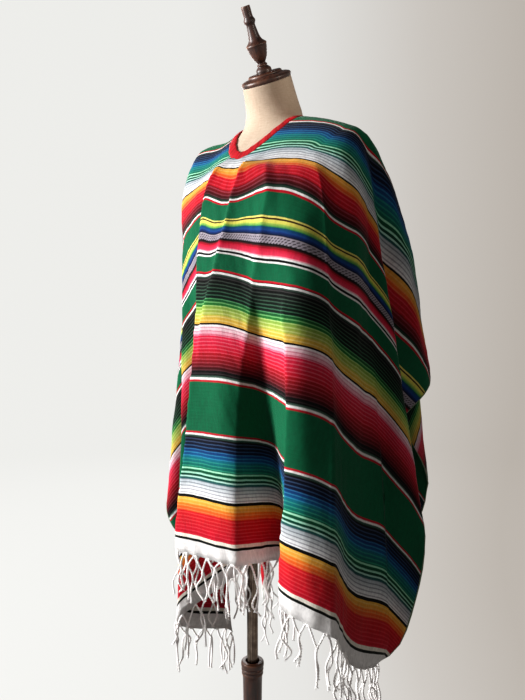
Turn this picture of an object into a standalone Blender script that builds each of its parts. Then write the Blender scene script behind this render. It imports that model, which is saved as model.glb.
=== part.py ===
"""Striped woven poncho on a limbless dress form with a turned wooden stand.

Metres, +Z up. The garment's front faces -Y and the wearer's left is +X. The origin is on the floor,
at the centre of the base.

The poncho is one woven rectangle with a head slit. A point of the cloth has two flat coordinates:
across (along the stripes, wearer's left positive) and along (towards the front hem positive).
The cloth leaves the shoulders all round a contour and hangs from there in straight fold lines.
Each fold line keeps its length in the cloth, so the height of its end follows from where it hangs.
"""
from math import cos, hypot, pi, radians, sin

import bmesh
import bpy
import numpy as np

# cloth, sizes
FRINGE_LENGTH = 0.10
FRINGE_FIRST_ROW = 0.012
CLOTH_THICK = 0.0020
FRINGE_THICK = 0.0014
GAP = 0.0003
SEAT_GAP = 0.0005
HEM_GAP = 0.0017

# top of the shoulders, a smooth height over the plan
SHOULDER_Y = 0.060
SHOULDER_Z = 1.420
SHOULDER_CURVE = 0.42
FRONT_SLOPE, FRONT_ROUND = 1.30, 0.050
BACK_SLOPE, BACK_ROUND = 1.00, 0.070
RIGHT_DIP, RIGHT_DIP_X, RIGHT_DIP_WIDTH = 0.016, -0.100, 0.045

# half axes in plan: sideways, forwards, backwards
HOLE_AXES = (0.073, 0.100, 0.084)
LEAVE_AXES = (0.185, 0.130, 0.140)
HOLE_POINT = 1.25
SLIT_SHIFT = -0.020

BINDING_WIDTH = 0.011
BINDING_THICK = 0.0030
BINDING_EASE = 0.0010

COLUMNS_PER_FOLD = 4
YOKE_RINGS = 3
HANG_RINGS = 9
HEM_RING = 0.985

# name, direction in which it leaves the shoulders (degrees from the front, to the wearer's left),
# flat end across and along (the cloth is 1.32 wide and 1.74 long), end in plan x and y,
# rounding at the shoulder, length in place / flat
FOLDS = (
    ("front crest", 2, 0.00, 0.87, 0.077, -0.137, 0.10, 1.00),
    ("left valley", 22, 0.14, 0.87, 0.126, -0.050, 0.12, 1.00),
    ("left pleat", 39, 0.31, 0.87, 0.221, -0.166, 0.16, 0.98),
    ("left ridge", 54, 0.385, 0.87, 0.283, -0.158, 0.07, 0.98),
    ("corner valley", 68, 0.52, 0.87, 0.290, -0.098, 0.09, 1.01),
    ("left front corner", 77, 0.66, 0.87, 0.291, -0.038, 0.05, 0.99),
    ("arm ridge", 83, 0.66, 0.57, 0.355, 0.019, 0.035, 1.00),
    ("arm valley", 85.5, 0.66, 0.36, 0.255, 0.098, 0.05, 0.99),
    ("shoulder ridge", 88.5, 0.66, 0.24, 0.291, 0.159, 0.09, 0.98),
    ("side valley", 96, 0.66, 0.07, 0.232, 0.172, 0.06, 1.00),
    ("side ridge", 104, 0.66, -0.10, 0.262, 0.208, 0.06, 1.00),
    ("left back valley", 112, 0.66, -0.36, 0.204, 0.220, 0.06, 1.00),
    ("left back ridge", 120, 0.66, -0.62, 0.232, 0.290, 0.07, 1.00),
    ("left back corner", 129, 0.66, -0.87, 0.172, 0.272, 0.07, 1.00),
    ("back valley one", 138, 0.50, -0.87, 0.124, 0.238, 0.08, 1.00),
    ("back ridge one", 148, 0.35, -0.87, 0.094, 0.316, 0.08, 1.00),
    ("back valley two", 159, 0.21, -0.87, 0.060, 0.238, 0.09, 1.00),
    ("back ridge two", 171, 0.07, -0.87, 0.022, 0.326, 0.09, 1.00),
    ("back valley three", 184, -0.07, -0.87, -0.020, 0.240, 0.09, 1.00),
    ("back ridge three", 197, -0.21, -0.87, -0.070, 0.320, 0.09, 1.00),
    ("back valley four", 209, -0.34, -0.87, -0.108, 0.256, 0.08, 1.00),
    ("back ridge four", 221, -0.47, -0.87, -0.182, 0.240, 0.08, 1.00),
    ("right back fold", 230, -0.57, -0.87, -0.104, 0.184, 0.07, 1.01),
    ("right back corner", 238, -0.66, -0.87, -0.070, 0.128, 0.06, 1.03),
    ("right back ridge", 248, -0.66, -0.565, -0.216, 0.186, 0.06, 1.00),
    ("right side valley", 257, -0.66, -0.32, -0.178, 0.138, 0.06, 1.00),
    ("right side ridge", 266, -0.66, -0.05, -0.235, 0.095, 0.05, 1.00),
    ("right arm valley", 273, -0.66, 0.20, -0.175, 0.045, 0.035, 1.00),
    ("right arm ridge", 279, -0.66, 0.50, -0.173, -0.064, 0.03, 1.04),
    ("right selvedge", 284, -0.66, 0.60, -0.134, -0.062, 0.03, 1.04),
    ("right front corner", 290, -0.66, 0.87, -0.076, 0.022, 0.03, 1.03),
    ("right ridge", 300, -0.51, 0.87, -0.083, -0.126, 0.022, 1.03),
    ("right valley", 320, -0.35, 0.87, -0.010, -0.026, 0.05, 1.00),
    ("right valley turn", 334, -0.28, 0.87, 0.010, -0.046, 0.05, 1.00),
    ("right pleat", 347, -0.14, 0.87, -0.052, -0.142, 0.022, 0.985),
)
FOLD_COLUMNS = ("name", "leave", "across", "along", "end_x", "end_y", "rounding", "ease")

# torso below the shoulders: name, height, half width, forwards, backwards
TORSO_SECTIONS = (
    ("arm hole", 1.240, 0.158, 0.122, 0.128),
    ("chest", 1.160, 0.146, 0.118, 0.110),
    ("under chest", 1.070, 0.130, 0.104, 0.095),
    ("waist", 0.985, 0.114, 0.090, 0.085),
    ("high hip", 0.880, 0.128, 0.092, 0.105),
    ("hip", 0.790, 0.138, 0.090, 0.112),
    ("edge", 0.742, 0.136, 0.086, 0.108),
    ("under", 0.728, 0.124, 0.076, 0.096),
    ("flat", 0.724, 0.060, 0.074, 0.040),
)

# neck of the form: share of the way up, half width and half depth
NECK_FOOT_AXES = (0.0590, 0.042, 0.066)
NECK_BASE = (0.0, 0.072, 1.424)
NECK_TOP = (0.0, 0.045, 1.489)
NECK_TILT = radians(27)
NECK_RINGS = ((0.08, 0.0560, 0.0540), (0.28, 0.0525, 0.0520), (0.60, 0.0492, 0.0495), (1.00, 0.0470, 0.0480))

# turned pieces: rows of radius and height from the outside top down
CAP_PROFILE = (
    ("disc top", 0.0300, 0.0170), ("disc rim", 0.0330, 0.0150), ("disc foot", 0.0330, 0.0120),
    ("step", 0.0400, 0.0110), ("cap shoulder", 0.0470, 0.0085), ("cap rim", 0.0490, 0.0050),
    ("cap foot", 0.0475, 0.0),
)
FINIAL_PROFILE = (
    ("tip", 0.0075, 0.1010), ("tip rim", 0.0085, 0.0998), ("top", 0.0083, 0.0845),
    ("bead over", 0.0088, 0.0835), ("bead", 0.0116, 0.0785), ("bead under", 0.0088, 0.0740),
    ("neck", 0.0080, 0.0725), ("neck flare", 0.0105, 0.0540), ("flange over", 0.0135, 0.0485),
    ("flange", 0.0203, 0.0435), ("flange under", 0.0188, 0.0405), ("urn", 0.0178, 0.0350),
    ("urn low", 0.0140, 0.0235), ("urn foot", 0.0075, 0.0150), ("ring over", 0.0080, 0.0138),
    ("ring", 0.0106, 0.0118), ("ring under", 0.0088, 0.0096), ("foot over", 0.0115, 0.0080),
    ("foot", 0.0150, 0.0048), ("foot rim", 0.0150, 0.0),
)
POLE_RADIUS = 0.0110
POLE_FOOT_Z = 0.200
POLE_HEAD_Z = 0.7237
BORE_CLEARANCE = 0.0001
BORE_FLOOR_Z = 0.090
COLUMN_PROFILE = (
    ("collar lip", 0.0205, 0.350), ("collar rim", 0.0228, 0.348), ("ring one", 0.0230, 0.340),
    ("groove one", 0.0205, 0.337), ("ring two", 0.0228, 0.333), ("groove two", 0.0200, 0.329),
    ("ring three", 0.0222, 0.325), ("collar foot", 0.0187, 0.317), ("column", 0.0187, 0.090),
    ("foot ring", 0.0240, 0.082), ("foot swell", 0.0290, 0.060), ("foot", 0.0330, 0.0403),
)
BASE_PROFILE = (
    ("crown", 0.0500, 0.040), ("slope", 0.1100, 0.034), ("edge over", 0.1560, 0.026), ("edge", 0.1620, 0.018),
    ("rim", 0.1620, 0.006), ("foot", 0.1580, 0.0),
)
TURNED_STEPS = 28


# the shoulders and the fold lines
def falling(forward):
    """How far the shoulders fall in front of and behind their top line."""
    slope = np.where(forward > 0, FRONT_SLOPE, BACK_SLOPE)
    round_part = np.where(forward > 0, FRONT_ROUND, BACK_ROUND)
    return np.sqrt((slope * forward) ** 2 + round_part ** 2) - round_part


def shoulder_height(x, forward):
    dip = RIGHT_DIP * np.exp(-((x - RIGHT_DIP_X) / RIGHT_DIP_WIDTH) ** 2)
    return SHOULDER_Z - x * x / (2 * SHOULDER_CURVE) - falling(forward) - dip


def oval(angle, axes):
    """Plan offset from the middle of the neck, sideways and forwards."""
    return oval_from(np.sin(angle), np.cos(angle), axes)


def oval_from(across, ahead, axes):
    side, front, back = axes
    return side * across, np.where(ahead > 0, front, back) * ahead


def head_hole(angle):
    """The head slit's opening: an oval that comes to a blunt point in front."""
    power = np.where(np.cos(angle) > 0, HOLE_POINT, 1.0)
    across, ahead = np.sin(angle), np.cos(angle)
    return oval_from(np.sign(across) * np.abs(across) ** power, np.sign(ahead) * np.abs(ahead) ** power, HOLE_AXES)


def yoke_point(x, forward):
    return np.stack([x, SHOULDER_Y - forward, shoulder_height(x, forward)], axis=-1)


def flat_of_yoke(x, forward, steps=24):
    """Flat cloth coordinates of a point on the shoulders, by its distance over them from the neck."""
    share = np.linspace(0, 1, steps).reshape((-1,) + (1,) * np.ndim(x))
    path = yoke_point(share * x, share * forward)
    travelled = np.linalg.norm(np.diff(path, axis=0), axis=-1).sum(axis=0)
    scale = travelled / np.maximum(np.hypot(x, forward), 1e-9)
    return x * scale - SLIT_SHIFT, forward * scale


def between_rows(values, place):
    """Smooth closed curve through the fold table's values."""
    values = np.asarray(values, float)
    count = len(values)
    low = np.floor(place).astype(int)
    part = place - low
    before, start, end, after = (values[(low + k) % count] for k in (-1, 0, 1, 2))
    return 0.5 * (2 * start + (end - before) * part + (2 * before - 5 * start + 4 * end - after) * part ** 2
                  + (3 * start - before - 3 * end + after) * part ** 3)


def straight_rows(values, place):
    values = np.asarray(values, float)
    low = np.floor(place).astype(int)
    part = place - low
    return values[low % len(values)] * (1 - part) + values[(low + 1) % len(values)] * part


def fold_column(name):
    return [row[FOLD_COLUMNS.index(name)] for row in FOLDS]


def leave_angles(place):
    """Directions in which the cloth leaves the shoulders, growing all the way round."""
    angles = np.radians(fold_column("leave"))
    count = len(angles)
    index = np.arange(-1, count + 2)
    turned = angles[index % count] + 2 * pi * (index // count)
    return np.interp(place, index, turned)


def cloth_columns(place):
    """Everything about the fold lines at the given places round the garment."""
    angle = leave_angles(place)
    side, forward = oval(angle, LEAVE_AXES)
    hole_side, hole_forward = head_hole(angle)
    leave_across, leave_along = flat_of_yoke(side, forward)
    across = straight_rows(fold_column("across"), place)
    along = straight_rows(fold_column("along"), place)
    ease = between_rows(fold_column("ease"), place)
    return {
        "angle": angle, "hole": (hole_side, hole_forward), "leave": (side, forward),
        "leave_flat": (leave_across, leave_along), "end_flat": (across, along),
        "length": np.hypot(across - leave_across, along - leave_along) * ease,
        "end": np.stack([between_rows(fold_column(name), place) for name in ("end_x", "end_y")], axis=-1),
        "rounding": between_rows(fold_column("rounding"), place),
    }


def hanging(columns, shares, steps=80):
    """Points of the hanging cloth, rings by columns: each line keeps its length as it rounds over and falls."""
    side, forward = columns["leave"]
    angle, length, rounding = columns["angle"], columns["length"], columns["rounding"]
    start = yoke_point(side, forward)
    outward = np.stack([np.sin(angle), -np.cos(angle)], axis=-1)
    reach = 1e-4
    slope = (start[:, 2] - shoulder_height(side + reach * np.sin(angle), forward + reach * np.cos(angle))) / reach
    first = (1 / np.sqrt(1 + slope ** 2))[:, None]
    travelled = np.linspace(0, 1, steps)[:, None] * length
    rounded = rounding * (1 - np.exp(-travelled / rounding))
    left = columns["end"] - start[:, :2] - outward * first * rounded[-1][:, None]
    drift = left / (length - rounded[-1])[:, None]
    fade = np.exp(-travelled / rounding)[..., None]
    plan = start[:, :2] + rounded[..., None] * (outward * first - drift) + travelled[..., None] * drift
    speed = np.linalg.norm(drift + (outward * first - drift) * fade, axis=-1)
    fall = np.sqrt(np.clip(1 - speed ** 2, 0.01, 1))
    step = length / (steps - 1)
    fallen = np.cumsum(0.5 * (fall[1:] + fall[:-1]) * step, axis=0)
    height = start[:, 2] - np.vstack([np.zeros_like(length), fallen])
    fine = np.linspace(0, 1, steps)
    points = np.empty((len(shares), len(length), 3))
    for column in range(len(length)):
        points[:, column, 0] = np.interp(shares, fine, plan[:, column, 0])
        points[:, column, 1] = np.interp(shares, fine, plan[:, column, 1])
        points[:, column, 2] = np.interp(shares, fine, height[:, column])
    return points


def yoke_rings(inner, outer, shares):
    """Points on the shoulders between an inner oval (share 0) and an outer one (share 1)."""
    part = np.asarray(shares)[:, None]
    return yoke_point(*(inside + (outside - inside) * part for inside, outside in zip(inner, outer)))


def yoke_normals(points):
    """Upward unit normals of the shoulders at the given points."""
    reach = 1e-4
    x, forward = points[..., 0], SHOULDER_Y - points[..., 1]
    fall_x = (shoulder_height(x + reach, forward) - shoulder_height(x - reach, forward)) / (2 * reach)
    fall_y = -(shoulder_height(x, forward + reach) - shoulder_height(x, forward - reach)) / (2 * reach)
    normal = np.stack([-fall_x, -fall_y, np.ones_like(x)], axis=-1)
    return normal / np.linalg.norm(normal, axis=-1, keepdims=True)


def fold_places():
    return np.arange(len(FOLDS) * COLUMNS_PER_FOLD) / COLUMNS_PER_FOLD


# Blender helpers
def clear_scene():
    for item in list(bpy.data.objects):
        bpy.data.objects.remove(item, do_unlink=True)


def material(name, colour, roughness, metallic=0.0):
    made = bpy.data.materials.new(name)
    made.use_nodes = True
    shader = made.node_tree.nodes["Principled BSDF"]
    shader.inputs["Base Color"].default_value = (*colour, 1.0)
    shader.inputs["Roughness"].default_value = roughness
    shader.inputs["Metallic"].default_value = metallic
    return made


def add_object(name, mesh, collection, surface):
    made = bpy.data.objects.new(name, mesh)
    collection.objects.link(made)
    mesh.materials.append(surface)
    return made


def ring_mesh(name, rings, cap_first=False, cap_last=False):
    """Loft over closed rings of equal count, with a fan in the first or last ring where it is capped."""
    mesh = bpy.data.meshes.new(name)
    shell = bmesh.new()
    made = [[shell.verts.new(point) for point in ring] for ring in rings]
    count = len(made[0])
    for upper, lower in zip(made, made[1:]):
        for k in range(count):
            n = (k + 1) % count
            shell.faces.new((upper[k], lower[k], lower[n], upper[n]))
    for ring, wanted in ((made[0], cap_first), (made[-1], cap_last)):
        if wanted:
            middle = shell.verts.new(np.mean([vertex.co[:] for vertex in ring], axis=0))
            for k in range(count):
                shell.faces.new((ring[k], ring[(k + 1) % count], middle))
    bmesh.ops.recalc_face_normals(shell, faces=shell.faces)
    shell.to_mesh(mesh)
    shell.free()
    return mesh


def turned(name, profile, collection, surface, location=(0, 0, 0), tilt=0.0, bore=None):
    """Turned piece: a profile with a Screw modifier. A bore is its radius and the height of its floor."""
    outline = [(radius, height) for _, radius, height in profile]
    top, foot = outline[0][1], outline[-1][1]
    start = [(0.0, top)] if bore is None else [(0.0, bore[1]), (bore[0], bore[1]), (bore[0], top)]
    points = start + outline + [(0.0, foot)]
    mesh = bpy.data.meshes.new(name)
    edges = [(k, k + 1) for k in range(len(points) - 1)]
    mesh.from_pydata([(radius, 0.0, height) for radius, height in points], edges, [])
    made = add_object(name, mesh, collection, surface)
    screw = made.modifiers.new("turning", "SCREW")
    screw.axis = "Z"
    screw.steps = screw.render_steps = TURNED_STEPS
    screw.use_merge_vertices = True
    screw.merge_threshold = 1e-5
    made.location = location
    made.rotation_euler = (tilt, 0, 0)
    return made


# the sub-parts
def build_cloth(collection, surface):
    columns = cloth_columns(fold_places())
    upper = yoke_rings(columns["hole"], columns["leave"], np.linspace(0, 1, YOKE_RINGS + 1))
    shares = np.append(np.linspace(0, 1, HANG_RINGS + 1)[:-1] ** 1.25, (HEM_RING, 1))
    lower = hanging(columns, shares)[1:]
    rings = np.concatenate([upper, lower])
    made = add_object("poncho_cloth", ring_mesh("poncho_cloth", rings), collection, surface)
    thickness = made.modifiers.new("woven wall", "SOLIDIFY")
    thickness.thickness = CLOTH_THICK
    thickness.offset = 0.0
    return rings, columns


def build_fringe(name, rings, first, last, collection, surface):
    """Plain wall of the fringe's reach, which leaves the hem in the cloth's own direction."""
    hem, above = (np.roll(rings[k], -first, axis=0)[:last - first + 1] for k in (-1, -2))
    leaving = (hem - above) / np.linalg.norm(hem - above, axis=-1, keepdims=True)
    top = hem + leaving * HEM_GAP
    below, bottom = (top + leaving * reach for reach in (FRINGE_FIRST_ROW, FRINGE_LENGTH))
    mesh = bpy.data.meshes.new(name)
    sheet = bmesh.new()
    rows = [[sheet.verts.new(point) for point in row] for row in (top, below, bottom)]
    for upper, lower in zip(rows, rows[1:]):
        for k in range(len(top) - 1):
            sheet.faces.new((upper[k], lower[k], lower[k + 1], upper[k + 1]))
    sheet.to_mesh(mesh)
    sheet.free()
    made = add_object(name, mesh, collection, surface)
    thickness = made.modifiers.new("fringe wall", "SOLIDIFY")
    thickness.thickness = FRINGE_THICK
    thickness.offset = 0.0


def build_binding(columns, collection, surface):
    """Tape over the edge of the head hole, a flat ring that starts one gap inside the cloth's edge."""
    side, forward = columns["hole"]
    across = np.hypot(side, forward)
    rings = []
    inner = BINDING_WIDTH - BINDING_EASE
    for inset, lift in ((GAP, 1), (inner, 1), (BINDING_WIDTH, 0), (inner, -1), (GAP, -1)):
        shrink = 1 - inset / across
        base = yoke_point(side * shrink, forward * shrink)
        height = 0.5 * BINDING_THICK * lift if lift > 0 else 0.5 * CLOTH_THICK * lift
        rings.append(base + yoke_normals(base) * height)
    mesh = ring_mesh("neck_binding", rings + [rings[0]])
    shell = bmesh.new()
    shell.from_mesh(mesh)
    bmesh.ops.remove_doubles(shell, verts=shell.verts, dist=1e-6)
    bmesh.ops.recalc_face_normals(shell, faces=shell.faces)
    shell.to_mesh(mesh)
    shell.free()
    add_object("neck_binding", mesh, collection, surface)


def neck_rings(angles):
    rings = []
    for share, half_width, half_depth in NECK_RINGS:
        middle = np.array(NECK_BASE) * (1 - share) + np.array(NECK_TOP) * share
        tilt = NECK_TILT * share
        side, forward = half_width * np.sin(angles), half_depth * np.cos(angles)
        rings.append(np.stack([side, middle[1] - forward * cos(tilt), middle[2] - forward * sin(tilt)], axis=-1))
    return rings


def build_form(collection, surface):
    """Torso and neck in one: neck from the top, the shoulders just under the cloth, then the body's sections."""
    angles = leave_angles(fold_places())
    foot, hole, leave = oval(angles, NECK_FOOT_AXES), head_hole(angles), oval(angles, LEAVE_AXES)
    inner = yoke_rings(foot, hole, (0, 0.5))
    outer = yoke_rings(hole, leave, np.linspace(0, 1, YOKE_RINGS + 1))
    tops = np.concatenate([inner, outer])
    tops = tops - yoke_normals(tops) * (0.5 * CLOTH_THICK + SEAT_GAP)
    rings = list(reversed(neck_rings(angles))) + list(tops)
    for _, height, half_width, front, back in TORSO_SECTIONS:
        side, forward = oval(angles, (half_width, front, back))
        rings.append(np.stack([side, SHOULDER_Y - forward, np.full_like(side, height)], axis=-1))
    mesh = ring_mesh("form_body", rings, cap_first=True, cap_last=True)
    mesh.shade_smooth()
    add_object("form_body", mesh, collection, surface)


def build_stand(collection, wood, metal):
    """Neck cap, finial, pole, column and base. The pole slides in the column's bore."""
    along_neck = np.array((0.0, -sin(NECK_TILT), cos(NECK_TILT)))
    cap_foot = np.array(NECK_TOP) + along_neck * GAP
    turned("neck_cap", CAP_PROFILE, collection, wood, cap_foot, NECK_TILT)
    finial_foot = cap_foot + along_neck * (CAP_PROFILE[0][2] + GAP)
    turned("finial", FINIAL_PROFILE, collection, wood, finial_foot, NECK_TILT)
    bpy.ops.mesh.primitive_cylinder_add(vertices=TURNED_STEPS, radius=POLE_RADIUS, depth=POLE_HEAD_Z - POLE_FOOT_Z,
                                        location=(0, 0, 0.5 * (POLE_HEAD_Z + POLE_FOOT_Z)))
    pole = bpy.context.object
    pole.name = "pole"
    pole.data.materials.append(metal)
    for user in list(pole.users_collection):
        user.objects.unlink(pole)
    collection.objects.link(pole)
    turned("column", COLUMN_PROFILE, collection, wood, bore=(POLE_RADIUS + BORE_CLEARANCE, BORE_FLOOR_Z))
    turned("base", BASE_PROFILE, collection, wood)


def main():
    clear_scene()
    collection = bpy.data.collections.new("poncho_on_dress_form")
    bpy.context.scene.collection.children.link(collection)
    woven = material("striped weave", (0.05, 0.27, 0.15), 0.9)
    white = material("white yarn", (0.85, 0.84, 0.82), 0.9)
    red = material("red tape", (0.62, 0.01, 0.03), 0.7)
    linen = material("linen", (0.78, 0.68, 0.55), 0.85)
    wood = material("dark turned wood", (0.05, 0.02, 0.013), 0.35)
    metal = material("dark metal", (0.10, 0.085, 0.075), 0.35, 1.0)
    rings, columns = build_cloth(collection, woven)
    names = [row[0] for row in FOLDS]
    left_front, left_back, right_back, right_front = (names.index(side + " corner") * COLUMNS_PER_FOLD for side in (
        "left front", "left back", "right back", "right front"))
    around = len(names) * COLUMNS_PER_FOLD
    build_fringe("fringe_front", rings, right_front, left_front + around, collection, white)
    build_fringe("fringe_back", rings, left_back, right_back, collection, white)
    build_binding(columns, collection, red)
    build_form(collection, linen)
    build_stand(collection, wood, metal)


main()
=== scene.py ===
# Striped woven poncho on a limbless dress form with a turned wooden stand.
# Metres, +Z up, the garment's front towards -Y, the wearer's left towards +X.
from math import cos, pi, radians, sin

import bmesh
import bpy
import numpy as np
from mathutils import Matrix


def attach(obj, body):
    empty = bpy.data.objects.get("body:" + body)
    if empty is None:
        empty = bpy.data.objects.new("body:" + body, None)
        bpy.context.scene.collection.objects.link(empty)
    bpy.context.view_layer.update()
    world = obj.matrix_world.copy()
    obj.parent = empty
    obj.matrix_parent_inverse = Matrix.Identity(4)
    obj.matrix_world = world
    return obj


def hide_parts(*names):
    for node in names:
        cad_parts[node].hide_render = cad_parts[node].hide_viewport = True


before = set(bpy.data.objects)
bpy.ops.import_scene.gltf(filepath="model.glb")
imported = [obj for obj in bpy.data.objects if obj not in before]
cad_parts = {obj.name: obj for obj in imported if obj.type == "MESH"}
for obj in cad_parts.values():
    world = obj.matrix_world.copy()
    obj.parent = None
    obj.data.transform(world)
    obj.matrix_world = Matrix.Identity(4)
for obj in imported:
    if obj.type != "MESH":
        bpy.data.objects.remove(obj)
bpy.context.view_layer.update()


# helpers for nodes and meshes
def colour(hexText):
    # sRGB hex to linear: a straight line near black, above it a power of 2.4
    parts = [int(hexText[k:k + 2], 16) / 255 for k in (1, 3, 5)]
    return tuple(p / 12.92 if p <= 0.04045 else ((p + 0.055) / 1.055) ** 2.4 for p in parts) + (1.0,)


def setInputs(tree, node, inputs):
    # an input, by name or in order, is a value, another node's socket, or a sum: (operation, value, ...)
    for name, value in (inputs.items() if isinstance(inputs, dict) else enumerate(inputs)):
        if isinstance(value, tuple) and isinstance(value[0], str):
            value = addNode(tree, "Math", value[1:], operation=value[0])
        if isinstance(value, bpy.types.NodeSocket):
            tree.links.new(value, node.inputs[name])
        else:
            node.inputs[name].default_value = value


def addNode(tree, kind, inputs=(), output=0, stops=(), **settings):
    # one node with its settings and inputs; gives one output, or a slice of them.
    # stops are a colour ramp's (position, hex colour)
    made = tree.nodes.new("ShaderNode" + kind)
    for name, value in settings.items():
        setattr(made, name, value)
    setInputs(tree, made, inputs)
    if stops:
        elements = made.color_ramp.elements
        while len(elements) < len(stops):
            elements.new(0.5)
        for element, (position, _) in zip(elements, stops):
            element.position = position
        for element, (_, shade) in zip(elements, stops):
            element.color = colour(shade)
    return made.outputs[output]


def newMaterial(name):
    # an empty material, its node tree and its shader
    made = bpy.data.materials.new(name)
    made.use_nodes = True
    tree = made.node_tree
    return made, tree, tree.nodes["Principled BSDF"]


def addObject(name, data):
    # an object for this data, in the scene, at the origin
    made = bpy.data.objects.new(name, data)
    bpy.context.scene.collection.objects.link(made)
    return made


def addPiece(name, mesh, finish, body, nodes=()):
    # the finished mesh as an object that rides on a body and stands for its CAD nodes
    made = addObject(name, mesh)
    mesh.materials.append(finish)
    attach(made, body)
    if nodes:
        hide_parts(*nodes)
    return made


def gridMesh(name, points, closed=False, uv=None, capStart=False, capEnd=False):
    # points are rows by columns by 3; a closed row's last column joins its first
    rows, columns = points.shape[:2]
    strips = columns if closed else columns - 1
    row, column = np.meshgrid(np.arange(rows - 1), np.arange(strips), indexing="ij")
    after = (column + 1) % columns
    corners = [(row, column), (row + 1, column), (row + 1, after), (row, after)]
    faces = np.stack([r * columns + c for r, c in corners], axis=-1).reshape(-1, 4).tolist()
    if capStart:
        faces.append(list(range(columns)))
    if capEnd:
        faces.append([(rows - 1) * columns + c for c in range(columns)][::-1])
    mesh = bpy.data.meshes.new(name)
    mesh.from_pydata(points.reshape(-1, 3).tolist(), [], faces)
    if uv is not None:
        wide = uv.shape[1]
        places = [(row, column), (row + 1, column), (row + 1, column + 1), (row, column + 1)]
        index = np.stack([r * wide + c % wide for r, c in places], axis=-1).reshape(-1)
        flat = uv.reshape(-1, 2)[index]
        values = np.zeros((len(mesh.loops), 2), np.float32)
        values[:len(flat)] = flat
        mesh.uv_layers.new(name="flat").data.foreach_set("uv", values.reshape(-1))
    mesh.shade_smooth()
    return mesh


def pointOutwards(mesh, merge=0.0):
    # joins points that lie closer than merge, and turns every face outwards
    shell = bmesh.new()
    shell.from_mesh(mesh)
    if merge:
        bmesh.ops.remove_doubles(shell, verts=shell.verts, dist=merge)
    bmesh.ops.recalc_face_normals(shell, faces=shell.faces)
    shell.to_mesh(mesh)
    shell.free()
    mesh.shade_smooth()


def unit(vectors):
    # each vector divided by its length
    return vectors / np.maximum(np.linalg.norm(vectors, axis=-1, keepdims=True), 1e-12)


def lengthAlong(paths):
    # length travelled along each path up to each of its points
    steps = np.linalg.norm(np.diff(paths, axis=-2), axis=-1)
    return np.concatenate([np.zeros(steps.shape[:-1] + (1,)), np.cumsum(steps, axis=-1)], axis=-1)


def placed(axes, spot):
    # matrix of an object with these three axes at a spot
    return Matrix([(*row, spot[k]) for k, row in enumerate(np.stack(axes, axis=1))] + [(0, 0, 0, 1)])


# the cloth: one woven rectangle with a head slit that hangs in fold lines
# name, direction in which it leaves the shoulders, flat end across and along, end in plan x and y,
# rounding at the shoulder, length in place / flat, height of a smaller fold midway to the next line
foldColumns = ("name", "leave", "across", "along", "endX", "endY", "rounding", "ease", "standing")
folds = (
    ("front crest", 2, 0.00, 0.87, 0.077, -0.137, 0.10, 1.00, 0),
    ("left valley", 22, 0.14, 0.87, 0.126, -0.050, 0.12, 1.00, 0),
    ("left pleat", 39, 0.31, 0.87, 0.221, -0.166, 0.16, 0.98, 0),
    ("left ridge", 54, 0.385, 0.87, 0.283, -0.158, 0.07, 0.98, 0),
    ("corner valley", 68, 0.52, 0.87, 0.290, -0.098, 0.09, 1.01, 0),
    ("left front corner", 77, 0.66, 0.87, 0.318, -0.013, 0.05, 0.99, 0),
    ("arm ridge", 83, 0.66, 0.57, 0.355, 0.019, 0.035, 1.00, 0),
    ("arm valley", 85.5, 0.66, 0.36, 0.255, 0.098, 0.05, 0.99, 0),
    ("shoulder ridge", 88.5, 0.66, 0.24, 0.291, 0.159, 0.09, 0.98, 0.022),
    ("side valley", 96, 0.66, 0.07, 0.232, 0.172, 0.06, 1.00, 0.027),
    ("side ridge", 104, 0.66, -0.10, 0.262, 0.208, 0.06, 1.00, 0.029),
    ("left back valley", 112, 0.66, -0.36, 0.204, 0.220, 0.06, 1.00, 0.029),
    ("left back ridge", 120, 0.66, -0.62, 0.232, 0.290, 0.07, 1.00, 0.018),
    ("left back corner", 129, 0.66, -0.87, 0.172, 0.272, 0.07, 1.00, 0.016),
    ("back valley one", 138, 0.50, -0.87, 0.124, 0.238, 0.08, 1.00, 0.014),
    ("back ridge one", 148, 0.35, -0.87, 0.094, 0.316, 0.08, 1.00, 0.018),
    ("back valley two", 159, 0.21, -0.87, 0.060, 0.238, 0.09, 1.00, 0.016),
    ("back ridge two", 171, 0.07, -0.87, 0.022, 0.326, 0.09, 1.00, 0.016),
    ("back valley three", 184, -0.07, -0.87, -0.020, 0.240, 0.09, 1.00, 0.016),
    ("back ridge three", 197, -0.21, -0.87, -0.070, 0.320, 0.09, 1.00, 0.016),
    ("back valley four", 209, -0.34, -0.87, -0.108, 0.256, 0.08, 1.00, 0.016),
    ("back ridge four", 221, -0.47, -0.87, -0.182, 0.240, 0.08, 1.00, 0.010),
    ("right back fold", 230, -0.57, -0.87, -0.104, 0.184, 0.07, 1.01, 0),
    ("right back corner", 238, -0.66, -0.87, -0.070, 0.128, 0.06, 1.03, 0.016),
    ("right back ridge", 248, -0.66, -0.565, -0.216, 0.186, 0.06, 1.00, 0.025),
    ("right side valley", 257, -0.66, -0.32, -0.178, 0.138, 0.06, 1.00, 0.029),
    ("right side ridge", 266, -0.66, -0.05, -0.235, 0.095, 0.038, 1.00, 0.027),
    ("right arm valley", 273, -0.66, 0.20, -0.170, 0.045, 0.022, 1.00, 0.020),
    ("right arm ridge", 279, -0.66, 0.50, -0.173, -0.064, 0.014, 1.04, 0),
    ("right selvedge", 284, -0.66, 0.60, -0.134, -0.062, 0.014, 1.04, 0),
    ("right front corner", 290, -0.66, 0.87, -0.076, 0.022, 0.018, 1.03, 0),
    ("right ridge", 300, -0.51, 0.87, -0.083, -0.126, 0.022, 1.03, 0),
    ("right valley", 320, -0.35, 0.87, -0.010, -0.026, 0.05, 1.00, 0),
    ("right valley turn", 334, -0.28, 0.87, 0.010, -0.046, 0.05, 1.00, 0),
    ("right pleat", 347, -0.14, 0.87, -0.052, -0.142, 0.022, 0.985, 0),
)
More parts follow.
